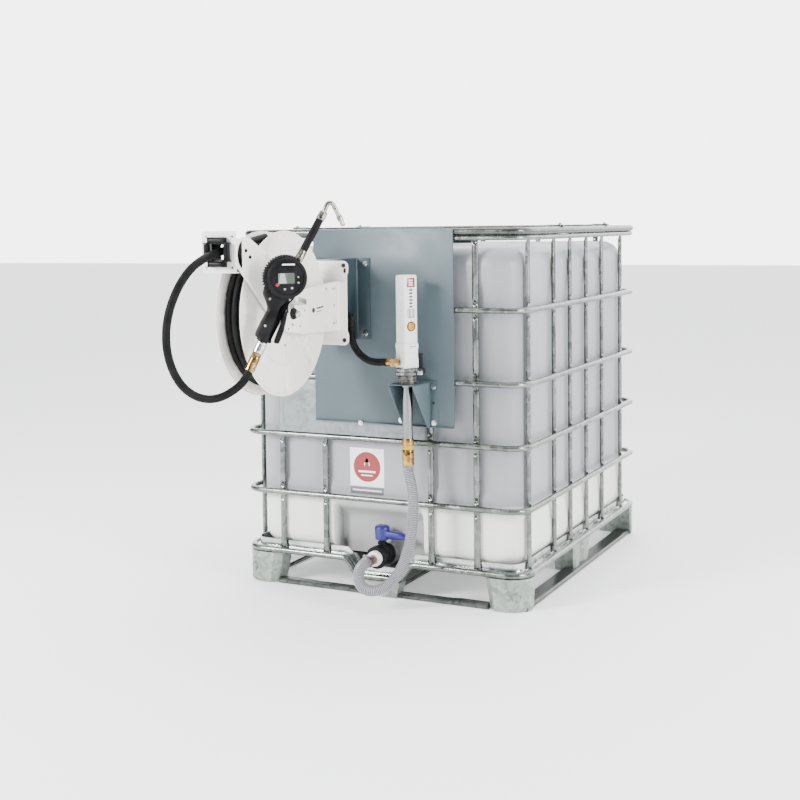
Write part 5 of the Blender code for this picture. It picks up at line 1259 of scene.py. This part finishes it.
# Painted shade: the side plate's slots and round holes are dark pieces standing in for the shadow inside them.
side_slots = [slab([(y - 0.0011, z - 0.006), (y + 0.0011, z - 0.006), (y + 0.0011, z + 0.006),
    (y - 0.0011, z + 0.006)], on_x, SIDE_OUT - 0.0002, SIDE_OUT + 0.0003, 0.0002) for y,
    z in ((-0.7290, 0.981), (-0.7290, 0.878))]
side_slots += [slab(arc((y, z), 0.0030, 0, 340, 17), on_x, SIDE_OUT - 0.0002, SIDE_OUT + 0.0003) for y,
    z in ((-0.9450, 0.882), (-1.0090, 0.879), (-0.9170, 0.926))]
piece("side_slots", side_slots, slot_painted_shade, "container", [])
mark = [slab(smooth_loop([(-0.8760, 0.9230), (-0.8660, 0.9150), (-0.8560, 0.9230), (-0.8660, 0.9310)], 6),
    on_x, SIDE_OUT - 0.0002, SIDE_OUT + 0.0003), slab([(-0.8480, 0.9250), (-0.8060, 0.9285),
    (-0.8060, 0.9335), (-0.8480, 0.9300)], on_x, SIDE_OUT - 0.0002, SIDE_OUT + 0.0003, 0.0001),
    slab([(-0.8480, 0.9160), (-0.8200, 0.9182), (-0.8200, 0.9206), (-0.8480, 0.9184)], on_x,
    SIDE_OUT - 0.0002, SIDE_OUT + 0.0003, 0.0001)]
piece("side_mark", mark, film_black)
axle_black = black_moulding("axle_black", (0.008, 0.008, 0.008), (0.3, 0.5))
piece("axle_boss", [lathe([(-0.0625, 0.0100), (-0.0615, 0.0165), (-0.0590, 0.0172), (-0.0560, 0.0165),
    (-0.0545, 0.0130), (-0.0500, 0.0122), (-0.0490, 0.0110)], (0, REEL_Y, REEL_Z), SIDEWAYS, 36)], axle_black,
    "container", [], 30.0)
piece("axle_nut", [lathe([(-0.0500, 0.0060), (-0.0496, 0.0095), (-0.0485, 0.0100), (-0.0430, 0.0100),
    (-0.0420, 0.0092), (-0.0419, 0.0060)], (0, REEL_Y, REEL_Z), SIDEWAYS, 6, start=0.2),
    lathe([(-0.0425, 0.0052), (-0.0395, 0.0050), (-0.0388, 0.0042)], (0, REEL_Y, REEL_Z), SIDEWAYS, 20)],
    zinc_bolt, "container", [], 28.0)

# Gun rest. A bent zinc-coated strip screwed on the side plate; the gun's handle hangs over its outer end.
rest_zinc = zinc("rest_zinc", (0.30, 0.31, 0.31), (0.50, 0.51, 0.51), (0.26, 0.38), 120.0, 0.75, bump=0.15)
rest_outline = [(-0.0615, -0.9800), (-0.0615, -1.0150), (0.0300, -1.1280), (0.0560, -1.1060),
    (-0.0430, -0.9800)]
rest_parts = [slab(rest_outline, on_z, 0.9552, 0.9582, 0.0006),
    box((-0.0618, -1.0140, 0.9350), (-0.0590, -0.9810, 0.9575), 0.0006)]
for (ax, ay), (bx, by) in (((-0.0600, -1.0140), (0.0300, -1.1265)), ((-0.0440, -0.9810), (0.0545, -1.1065))):
    along = (Vector((bx, by)) - Vector((ax, ay))).normalized()
    over = Vector((-along.y, along.x)) * 0.0013
    rest_parts.append(slab([(ax - over.x, ay - over.y), (bx - over.x, by - over.y),
        (bx + over.x, by + over.y), (ax + over.x, ay + over.y)], on_z, 0.9560, 0.9710, 0.0005))
piece("gun_rest", rest_parts, rest_zinc, "container", [], 30.0)
fasteners("gun_rest_screws", [((-0.0592, y, 0.9440), SIDEWAYS) for y in (-1.0060, -0.9890)], zinc_bolt,
    (0.0030, 0.0024), (0.0044, 0.0008), 12)

# Reel drum. Two pressed discs with eight shallow pleats, a raised ring and a rolled rim are riveted to a core; the hose
# lies on the core in side-by-side turns. Disc, core and hose turn together.
DISC_RADIUS, DISC_SHEET = 0.238, 0.0020
PLEATS = 8


def disc_lift(radius, angle):
    """How far the disc's face stands out from its flat middle."""
    raised = 0.0026 * ease((radius - 0.1450) / 0.0060)
    hub = 0.0020 * ease((0.056 - radius) / 0.008)
    from_pleat = ((angle * PLEATS / (2 * math.pi) + 0.5) % 1.0 - 0.5) * 2 * math.pi / PLEATS
    across = abs(from_pleat) * radius
    pleat = -0.0031 * ease((0.0150 - across) / 0.0090) * ease((radius - 0.151)
        / 0.008) * ease((0.2275 - radius) / 0.006)
    rib = 0.0014 * ease((0.0070 - across) / 0.0050) * ease((radius - 0.060) / 0.008) * ease((0.141 - radius)
        / 0.008)
    roll = 0.0022 * ease((radius - 0.2285) / 0.0055)
    return raised + hub + pleat + rib + roll


def pressed_disc(face_x, out, bore):
    """A disc whose outer face looks towards out (+1 or -1 along X)."""
    radii = [bore, 0.030, 0.046, 0.050, 0.053, 0.057, 0.060, 0.064, 0.068, 0.085, 0.105, 0.125, 0.133, 0.137,
        0.141, 0.1445, 0.1462, 0.148, 0.1498, 0.1515, 0.154, 0.157, 0.160, 0.175, 0.190, 0.205, 0.216, 0.2210,
        0.2235, 0.2255, 0.2280, 0.2300, 0.232, 0.2345, 0.2370]
    radii = [r for r in radii if r >= bore]
    turns = 320
    loops = []

    def level(radius, depth):
        return [(face_x + out * (disc_lift(radius, 2 * math.pi * i / turns) - depth),
            REEL_Y + radius * math.cos(2 * math.pi * i / turns),
            REEL_Z + radius * math.sin(2 * math.pi * i / turns)) for i in range(turns)]
    loops += [level(radius, 0.0) for radius in radii]
    loops += [level(DISC_RADIUS, 0.0006), level(DISC_RADIUS, DISC_SHEET - 0.0006)]
    loops += [level(radius, DISC_SHEET) for radius in radii[::-1]]
    return loft(loops, ring=True)


disc_white = enamel("disc_white", (0.84, 0.82, 0.79), (0.22, 0.36), 0.88, 280.0, 0.08, (1.0, 0.97, 0.93))
drum_parts = [pressed_disc(-0.0915, 1, 0.0128), pressed_disc(-0.1605, -1, 0.100),
    lathe([(-0.1600, 0.1000), (-0.1600, 0.1030), (-0.0930, 0.1030), (-0.0930, 0.1000)], (0, REEL_Y, REEL_Z),
    SIDEWAYS, 96), lathe([(-0.1300, 0.0128), (-0.1300, 0.0235), (-0.1285, 0.0250), (-0.0930, 0.0250),
    (-0.0930, 0.0128)], (0, REEL_Y, REEL_Z), SIDEWAYS, 48)]
piece("drum_discs", drum_parts, disc_white, "reel_drum", ["reel_drum"], 40.0)
spokes = []
for k in range(6):
    t = math.radians(30 + 60 * k)
    spokes.append(((-0.0916, REEL_Y + 0.092 * math.cos(t), REEL_Z + 0.092 * math.sin(t)), SIDEWAYS))
fasteners("drum_rivets", spokes, screw_steel, (0.0034, 0.0016), (0.0050, 0.0008), 16, "reel_drum")
piece("reel_shaft", [lathe([(-0.1500, 0.0060), (-0.1500, 0.0108), (-0.1488, 0.0120), (-0.0700, 0.0120),
    (-0.0690, 0.0060)], (0, REEL_Y, REEL_Z), SIDEWAYS, 36)], chrome, "container", [])
spring_case = lathe([(-0.1585, 0.0135), (-0.1585, 0.0900), (-0.1570, 0.0930), (-0.1340, 0.0930),
    (-0.1335, 0.0260), (-0.1310, 0.0260), (-0.1310, 0.0135)], (0, REEL_Y, REEL_Z), SIDEWAYS, 72, True)
piece("spring_case", [spring_case], dark_cast, "reel_drum", [])
WRAP = 0.0106
turns_of_hose = []
for radius, places in ((0.2012, (-0.1472, -0.1260, -0.1048)), (0.1829, (-0.1366, -0.1154)),
        (0.1829, (-0.1478, -0.1042))):
    for number, x in enumerate(places):
        loop = []
        for i in range(97):
            t = 2 * math.pi * i / 96
            sway = 0.0003 * math.sin(3 * t + number * 1.7)
            loop.append(Vector((x + sway, REEL_Y + radius * math.cos(t), REEL_Z + radius * math.sin(t))))
        turns_of_hose.append(tube(loop, WRAP if radius > 0.19 else 0.0100, 16, True))
turns_of_hose.append(lathe([(-0.1575, 0.1036), (-0.1575, 0.1760), (-0.0945, 0.1760), (-0.0945, 0.1036)],
    (0, REEL_Y, REEL_Z), SIDEWAYS, 72))
piece("wound_turns", turns_of_hose, hose_rubber, "reel_drum", ["wound_hose"], 40.0)
lead_path = [Vector((-0.1260, REEL_Y + 0.2012 * math.cos(t), REEL_Z + 0.2012 * math.sin(t)))
    for t in (math.radians(a) for a in (88, 91, 94, 97))]
last = lead_path[-1]
lead_path += [last.lerp(Vector((-0.1260, -1.2560, 1.1040)), k / 12)
    + Vector((0, 0, 0.004 * math.sin(math.pi * k / 12))) for k in range(1, 13)]
piece("hose_lead", [tube(lead_path, WRAP, 18)], hose_rubber, "container", [])

# Guide arm and rollers. The arm holds a square white plate in front of the reel; four black rollers round its window
# lead the hose out.
ARM_IN, ARM_OUT = -0.0850, -0.0736
arm_outline = ([(-1.020, 0.915), (-0.985, 0.940), (-0.985, 1.010), (-1.040, 1.068)] + arc((-1.203, 1.096),
    0.048, 64.0, 225.0, 22) + [(-1.075, 0.915)])
arm_parts = [pillow(arm_outline, on_x, ARM_IN, ARM_OUT, 0.0022, 4)]
PLATE_X, PLATE_Z = -0.126, 1.104
outer = rounded(PLATE_X - 0.055, PLATE_Z - 0.0565, PLATE_X + 0.055, PLATE_Z + 0.0565, 0.005, 5)
window = rounded(PLATE_X - 0.023, PLATE_Z - 0.023, PLATE_X + 0.023, PLATE_Z + 0.023, 0.003, 5)
arm_parts.append(loft([[(x, y, z) for x, z in loop] for loop,
    y in ((pulled_in(outer, 0.0006), -1.2590), (window, -1.2590), (window, -1.2560),
    (pulled_in(outer, 0.0006), -1.2560), (outer, -1.2566), (outer, -1.2584))], ring=True))
for z0, z1 in ((PLATE_Z - 0.0563, PLATE_Z - 0.0540), (PLATE_Z + 0.0540, PLATE_Z + 0.0563)):
    arm_parts.append(box((PLATE_X - 0.052, -1.2580, z0), (PLATE_X + 0.052, -1.2400, z1), 0.0005))
arm_parts.append(pillow(rounded(-1.2582, 1.060, -1.2250, 1.140, 0.003, 3), on_x, ARM_IN, ARM_OUT, 0.0012, 3))
piece("guide_arm_sheet", arm_parts, reel_white, "container", ["guide_arm"], 30.0)
fasteners("guide_arm_bolts", [((ARM_OUT - 0.0003, y, z), SIDEWAYS) for y,
    z in ((-1.208, 1.107), (-1.188, 1.089))], black_bolt, (0.0042, 0.0030), (0.0054, 0.0008))
fasteners("roller_plate_screws", [((x, -1.2588, z), FORWARD) for x in (-0.168, -0.084) for z in (1.062,
    1.146)], screw_steel, (0.0028, 0.0018), (0.0038, 0.0008), 14)
throat_out, throat_in = (rounded(PLATE_X - half, PLATE_Z - half, PLATE_X + half, PLATE_Z + half, 0.003, 5)
    for half in (0.0229, 0.0202))
throat = loft([[(x, y, z) for x, z in loop] for loop,
    y in ((throat_out, -1.2600), (throat_in, -1.2600), (throat_in, -1.2180), (throat_out, -1.2180))],
    ring=True)
ROLLER_Y, ROLLER_OFF = -1.270, 0.032
roller_black = black_moulding("roller_black", (0.006, 0.006, 0.0065), (0.28, 0.45), 600.0, 0.2)
piece("hose_throat", [throat], roller_black, "container", [], 32.0)
barrel = [(-0.0220, 0.0045), (-0.0220, 0.0078), (-0.0212, 0.0086), (-0.0190, 0.0090), (-0.0120, 0.0087),
    (0.0, 0.0085), (0.0120, 0.0087), (0.0190, 0.0090), (0.0212, 0.0086), (0.0220, 0.0078), (0.0220, 0.0045)]
for word, dx, dz, way in (("top", 0, ROLLER_OFF, SIDEWAYS), ("bottom", 0, -ROLLER_OFF, SIDEWAYS),
        ("left", -ROLLER_OFF, 0, UP), ("right", ROLLER_OFF, 0, UP)):
    middle = Vector((PLATE_X + dx, ROLLER_Y, PLATE_Z + dz))
    piece(f"roller_{word}_barrel", [lathe(barrel, middle, way, 40)], roller_black, f"guide_roller_{word}",
        [f"guide_roller_{word}"], 32.0)
    reach = Vector(way)
    yoke = []
    for side in (-1, 1):
        hinge = middle + reach * side * 0.0240
        span = Vector((0.0016, 0.0, 0.0)) if way is SIDEWAYS else Vector((0.0, 0.0, 0.0016))
        wide = Vector((0.0, 0.0, 0.0085)) if way is SIDEWAYS else Vector((0.0085, 0.0, 0.0))
        low, high = hinge - span - wide, hinge + span + wide
        yoke.append(box((low.x, -1.2790, low.z), (high.x, -1.2585, high.z), 0.0010))
        pin = lathe([(side * 0.0216, 0.0030), (side * 0.0262, 0.0030), (side * 0.0268, 0.0022)], middle, way,
            14)
        yoke.append(pin)
    piece(f"roller_{word}_yoke", yoke, roller_black, "container", [], 32.0)

# Dispensing gun. A black cast handle with a round meter on top: soft guard with teeth on its upper left edge, bezel,
# grey display and small keys. The red key and the trigger move on their own.
GUN_CENTRE = Vector((0.012, -1.150, 1.032))
GUN_ACROSS, GUN_FACING = Vector((0.7071068, 0.7071068, 0.0)), Vector((0.7071068, -0.7071068, 0.0))


def in_gun(across, up, out):
    """A point of the gun, measured from the meter's middle: across its face, up, and out towards the user."""
    point = GUN_CENTRE + GUN_ACROSS * across + GUN_FACING * out
    return (point.x, point.y, point.z + up)


gun_black = black_moulding("gun_cast", (0.006, 0.006, 0.0065), (0.30, 0.48), 520.0, 0.30)
guard_black = black_moulding("guard_rubber", (0.005, 0.005, 0.0055), (0.50, 0.70), 420.0, 0.45)
meter_parts = [lathe([(-0.0180, 0.0300), (-0.0180, 0.0490), (-0.0168, 0.0520), (-0.0140, 0.0535),
    (0.0280, 0.0535), (0.0310, 0.0520), (0.0325, 0.0300)], GUN_CENTRE, GUN_FACING, 96)]
handle = smooth_loop([(-0.0830, -0.1550), (-0.0640, -0.1670), (-0.0440, -0.1780), (-0.0400, -0.1600),
    (-0.0330, -0.1490), (-0.0275, -0.1400), (-0.0185, -0.1200), (-0.0125, -0.1000), (-0.0100, -0.0850),
    (0.0100, -0.0700), (0.0250, -0.0570), (0.0280, -0.0400), (-0.0100, -0.0250), (-0.0500, -0.0220),
    (-0.0590, -0.0400), (-0.0540, -0.0580), (-0.0480, -0.0820), (-0.0580, -0.1020), (-0.0710, -0.1250)], 5)
meter_parts.append(pillow(handle, in_gun, -0.0160, 0.0160, 0.0085, 7))
for depth in ((0.0078, 0.0125), (-0.0125, -0.0078)):
    meter_parts.append(pillow([(-0.0300, -0.0650), (0.0060, -0.0680), (0.0080, -0.0960), (-0.0060, -0.1000),
        (-0.0300, -0.0960)], in_gun, *depth, 0.0012, 3))
piece("gun_casting", meter_parts, gun_black, "container", ["gun_body"], 32.0)
guard_profile = [(-0.0120, 0.0532), (-0.0120, 0.0562), (-0.0105, 0.0570), (0.0000, 0.0572), (0.0010, 0.0562),
    (0.0030, 0.0562), (0.0040, 0.0572), (0.0220, 0.0572), (0.0300, 0.0565), (0.0350, 0.0540),
    (0.0372, 0.0510), (0.0380, 0.0480), (0.0376, 0.0462), (0.0340, 0.0455), (0.0320, 0.0455),
    (0.0300, 0.0532)]
piece("meter_guard", [loft([[Vector(GUN_CENTRE) + GUN_FACING * along + radius
    * (math.cos(t) * GUN_ACROSS + math.sin(t) * Vector(UP)) for along, radius in guard_profile]
    for t in (2 * math.pi * i / 96 for i in range(96))], ring=True)], guard_black, "container", [],
    32.0)


def teeth_tree():
    """Square ridges set on edge along an arc, then stood in place: radius, start, sweep, count and size are inputs."""
    tree, nodes, given = geometry_tree("guard_teeth", Radius="Float", Start="Float", Sweep="Float",
        Count="Int", Size="Vector", Place="Vector", Turn="Vector")
    line = added(nodes, "GeometryNodeCurveArc", {"Resolution": 64, "Radius": given["Radius"],
        "Start Angle": given["Start"], "Sweep Angle": given["Sweep"]})
    spread = added(nodes, "GeometryNodeCurveToPoints",
        {"Curve": line.outputs["Curve"], "Count": given["Count"]})
    ridge = added(nodes, "GeometryNodeMeshCube", {"Size": given["Size"]})
    on_edge = added(nodes, "GeometryNodeTransform", {"Rotation": (0.0, 0.0, math.radians(45.0)),
        "Geometry": ridge.outputs["Mesh"]})
    heading = added(nodes, "FunctionNodeAlignRotationToVector", {"Vector": spread.outputs["Tangent"]},
        axis="X")
    placed = added(nodes, "GeometryNodeInstanceOnPoints",
        {"Points": spread.outputs["Points"], "Instance": on_edge.outputs["Geometry"],
        "Rotation": heading.outputs["Rotation"], "Scale": (0.75, 1.35, 1.0)})
    stood = added(nodes, "GeometryNodeTransform", {"Geometry": placed.outputs["Instances"],
        "Translation": given["Place"], "Rotation": given["Turn"]})
    finished(nodes, given, stood.outputs["Geometry"])
    return tree


gun_turn = Matrix((GUN_ACROSS, Vector(UP), GUN_FACING)).transposed().to_euler()
ridge_middle = GUN_CENTRE + GUN_FACING * 0.0110
grown("guard_teeth", teeth_tree(), bpy.data.meshes.new("guard_teeth"),
    {"Radius": 0.0565, "Start": math.radians(52.0), "Sweep": math.radians(160.0), "Count": 22,
    "Size": (0.0072, 0.0072, 0.0380), "Place": tuple(ridge_middle), "Turn": tuple(gun_turn),
    "Finish": guard_black}, "container", [])
face_panel = black_moulding("face_panel", (0.006, 0.006, 0.007), (0.22, 0.34), 500.0, 0.10)
panel = [lathe([(0.0318, 0.0200), (0.0318, 0.0458), (0.0345, 0.0456), (0.0352, 0.0445), (0.0354, 0.0200)],
    GUN_CENTRE, GUN_FACING, 72)]
panel.append(pillow(rounded(-0.0300, -0.0185, 0.0250, 0.0195, 0.0040, 4), in_gun, 0.0345, 0.0368, 0.0010, 3))
piece("meter_panel", panel, face_panel, "container", [], 30.0)


def display_glass(name):
    """Grey liquid-crystal glass with a painted reflection that makes it lighter on the left."""
    material, nodes, links, shader = principled(name, (0.24, 0.27, 0.25), 0.12, Coat_Weight=0.6,
        Coat_Roughness=0.05)
    where = added(nodes, "TexCoord")
    split = added(nodes, "SeparateXYZ", {0: where.outputs["Object"]})
    # Painted reflection: the glass's colour is lighter towards its left side.
    sweep = added(nodes, "MapRange", {"From Min": 0.0250, "From Max": 0.0430, "Value": split.outputs["X"]})
    tone = ramp(nodes, sweep.outputs["Result"], (0.20, (0.10, 0.13, 0.11)), (0.85, (0.05, 0.07, 0.055)))
    haze = added(nodes, "TexNoise", {"Scale": 90.0, "Vector": where.outputs["Object"]})
    gloss = added(nodes, "MapRange", {"To Min": 0.08, "To Max": 0.22, "Value": haze.outputs["Fac"]})
    fed(shader, Base_Color=tone.outputs["Color"], Roughness=gloss.outputs["Result"])
    return material


piece("meter_display", [slab(rounded(-0.0260, -0.0150, 0.0190, 0.0135, 0.0015, 3), in_gun, 0.0364, 0.0371)],
    display_glass("display_glass"), "container", [])
# Painted reflection: a pale slanted band on the glass stands in for glare.
shine = slab([(-0.0250, -0.0140), (-0.0030, -0.0140), (-0.0085, 0.0125), (-0.0200, 0.0125)], in_gun, 0.0370,
    0.0372)
piece("display_painted_glare", [shine], printed("glare_painted_grey", (0.36, 0.38, 0.36), 0.2), "container", [])
key_grey = moulded_plastic("key_grey", (0.30, 0.31, 0.32), 0.35)
keys = []
for across, up, radius in ((0.0300, -0.0130, 0.0030), (0.0120, -0.0275, 0.0034), (-0.0080, -0.0300, 0.0030),
        (0.0300, 0.0020, 0.0024)):
    keys.append(lathe([(0.0350, radius * 0.7), (0.0350, radius), (0.0362, radius), (0.0370, radius * 0.7),
        (0.0371, radius * 0.3)], in_gun(across, up, 0.0), GUN_FACING, 24))
piece("meter_keys", keys, key_grey, "container", [])
piece("meter_strip", [pillow(rounded(-0.0150, 0.0345, 0.0210, 0.0385, 0.0012, 3), in_gun, 0.0350, 0.0358,
    0.0003, 2)], film_white)
piece("red_key", [lathe([(0.0356, 0.0020), (0.0356, 0.0050), (0.0388, 0.0050), (0.0397, 0.0044),
    (0.0401, 0.0030), (0.0402, 0.0012)], in_gun(-0.0290, -0.0175, 0.0), GUN_FACING, 32)],
    moulded_plastic("red_key", (0.34, 0.004, 0.014), 0.28, 0.85, 300.0, 0.3), "meter_button",
    ["meter_button"])
trigger = smooth_loop([(0.0040, -0.0835), (0.0070, -0.0930), (0.0030, -0.1130), (-0.0030, -0.1370),
    (-0.0100, -0.1570), (-0.0190, -0.1775), (-0.0245, -0.1795), (-0.0312, -0.1775), (-0.0318, -0.1725),
    (-0.0235, -0.1500), (-0.0135, -0.1260), (-0.0055, -0.0980), (-0.0060, -0.0840)], 5)
piece("trigger_blade", [pillow(trigger, in_gun, -0.0070, 0.0070, 0.0026, 4)], gun_black, "gun_trigger",
    ["gun_trigger"], 40.0)
gun_facing = tuple(GUN_FACING)
fasteners("gun_screws", [(in_gun(across, up, out), gun_facing) for across, up,
    out in ((-0.0020, -0.0880, 0.0124), (0.0100, -0.0600, 0.0159), (-0.0450, -0.0560, 0.0159),
    (-0.0600, -0.1280, 0.0159))], screw_steel, (0.0026, 0.0014), (0.0034, 0.0006), 14)

# Gun spout and swivel. A black rigid tube in two silver collars carries a bent steel outlet; below the handle a plated
# swivel joins the hose's brass crimp.
spout_steel = zinc("spout_steel", (0.13, 0.125, 0.105), (0.46, 0.44, 0.38), (0.16, 0.32), 150.0, 1.0,
    bump=0.2)
start, ahead = Vector((0.0386, 0.0455)), Vector((0.497, 0.868)).normalized()


def gun_point(flat):
    return Vector(in_gun(flat[0], flat[1], 0.0))


spout_way = (gun_point(start + ahead) - gun_point(start)).normalized()
spout_foot = gun_point(start)
collars = [lathe([(0.0, 0.0070), (0.0, 0.0108), (0.0010, 0.0116), (0.0300, 0.0116), (0.0315, 0.0108),
    (0.0318, 0.0070)], spout_foot, spout_way, 36),
    lathe([(0.1285, 0.0075), (0.1285, 0.0114), (0.1295, 0.0122), (0.1345, 0.0122), (0.1350, 0.0114),
    (0.1358, 0.0114), (0.1363, 0.0122), (0.1390, 0.0122)], spout_foot, spout_way, 36),
    lathe([(0.1388, 0.0100), (0.1390, 0.0128), (0.1500, 0.0128), (0.1510, 0.0120), (0.1545, 0.0085),
    (0.1548, 0.0060)], spout_foot, spout_way, 6, start=0.5)]
bend, _ = smooth_path([gun_point(point) for point in [start + ahead * 0.153, (0.122, 0.1945), (0.127, 0.201),
    (0.133, 0.203), (0.139, 0.200), (0.145, 0.190), (0.156, 0.168), (0.1575, 0.1652)]], 0.003)
collars.append(tube([Vector(point) for point in bend], 0.0064, 22))
tip_way = (gun_point((0.1705, 0.139)) - gun_point((0.1562, 0.1676))).normalized()
collars.append(lathe([(0.0, 0.0060), (0.0, 0.0074), (0.0010, 0.0079), (0.0160, 0.0079), (0.0172, 0.0074),
    (0.0180, 0.0064), (0.0300, 0.0062), (0.0318, 0.0056), (0.0318, 0.0040), (0.0290, 0.0038)],
    gun_point((0.1562, 0.1676)), tip_way, 28))
collars.append(lathe([(0.0030, 0.0070), (0.0032, 0.0089), (0.0110, 0.0089), (0.0112, 0.0070)],
    gun_point((0.1562, 0.1676)), tip_way, 6))
piece("spout_metal", collars, spout_steel, "container", ["gun_spout"], 30.0)
sleeve = [lathe([(0.0310, 0.0080), (0.0312, 0.0104), (0.0325, 0.0108), (0.1278, 0.0108), (0.1290, 0.0104),
    (0.1292, 0.0080)], spout_foot, spout_way, 32)]
piece("spout_sleeve", sleeve, guard_black, "container", [])
swivel_way = (gun_point((0.447, 0.894)) - gun_point((0.0, 0.0))).normalized()
swivel_foot = gun_point((-0.1030, -0.2510))
crimp_brass = zinc("crimp_brass", (0.16, 0.085, 0.025), (0.62, 0.44, 0.19), (0.16, 0.30), 120.0, 1.0,
    bump=0.15)
crimp = [(0.0005, 0.0100), (0.0006, 0.0124), (0.0020, 0.0136)]
for level in (0.0120, 0.0200, 0.0280):
    crimp += [(level, 0.0140), (level + 0.0010, 0.0132), (level + 0.0028, 0.0132), (level + 0.0038, 0.0140)]
crimp += [(0.0420, 0.0140), (0.0432, 0.0134), (0.0440, 0.0108), (0.0445, 0.0080)]
piece("crimp_sleeve", [lathe(crimp, swivel_foot, swivel_way, 36)], crimp_brass, "gun_swivel", ["gun_swivel"],
    30.0)
piece("crimp_hex", [lathe([(0.0438, 0.0090), (0.0440, 0.0126), (0.0446, 0.0132), (0.0520, 0.0132),
    (0.0528, 0.0126), (0.0530, 0.0090)], swivel_foot, swivel_way, 6)], crimp_brass, "gun_swivel", [],
    30.0)
plated = [(0.0526, 0.0085), (0.0528, 0.0112), (0.0545, 0.0146), (0.0560, 0.0150)]
for level in (0.0630, 0.0685):
    plated += [(level, 0.0150), (level + 0.0006, 0.0141), (level + 0.0016, 0.0141), (level + 0.0022, 0.0150)]
plated += [(0.0790, 0.0150), (0.0800, 0.0143), (0.0812, 0.0143), (0.0824, 0.0150), (0.0850, 0.0148),
    (0.0868, 0.0132), (0.0870, 0.0090)]
piece("swivel_nut", [lathe(plated, swivel_foot, swivel_way, 40)],
    zinc("plated_nut", (0.36, 0.37, 0.36), (0.78, 0.79, 0.78), (0.14, 0.30), 170.0, 1.0, bump=0.35),
    "gun_swivel", [], 30.0)
cuff_ring = [lathe([(-0.0060, 0.0120), (-0.0055, 0.0156), (0.0, 0.0166), (0.0110, 0.0168), (0.0180, 0.0155),
    (0.0200, 0.0120)], gun_point((-0.0635, -0.1670)), swivel_way, 40)]
piece("handle_cuff", cuff_ring, gun_black, "container", [])
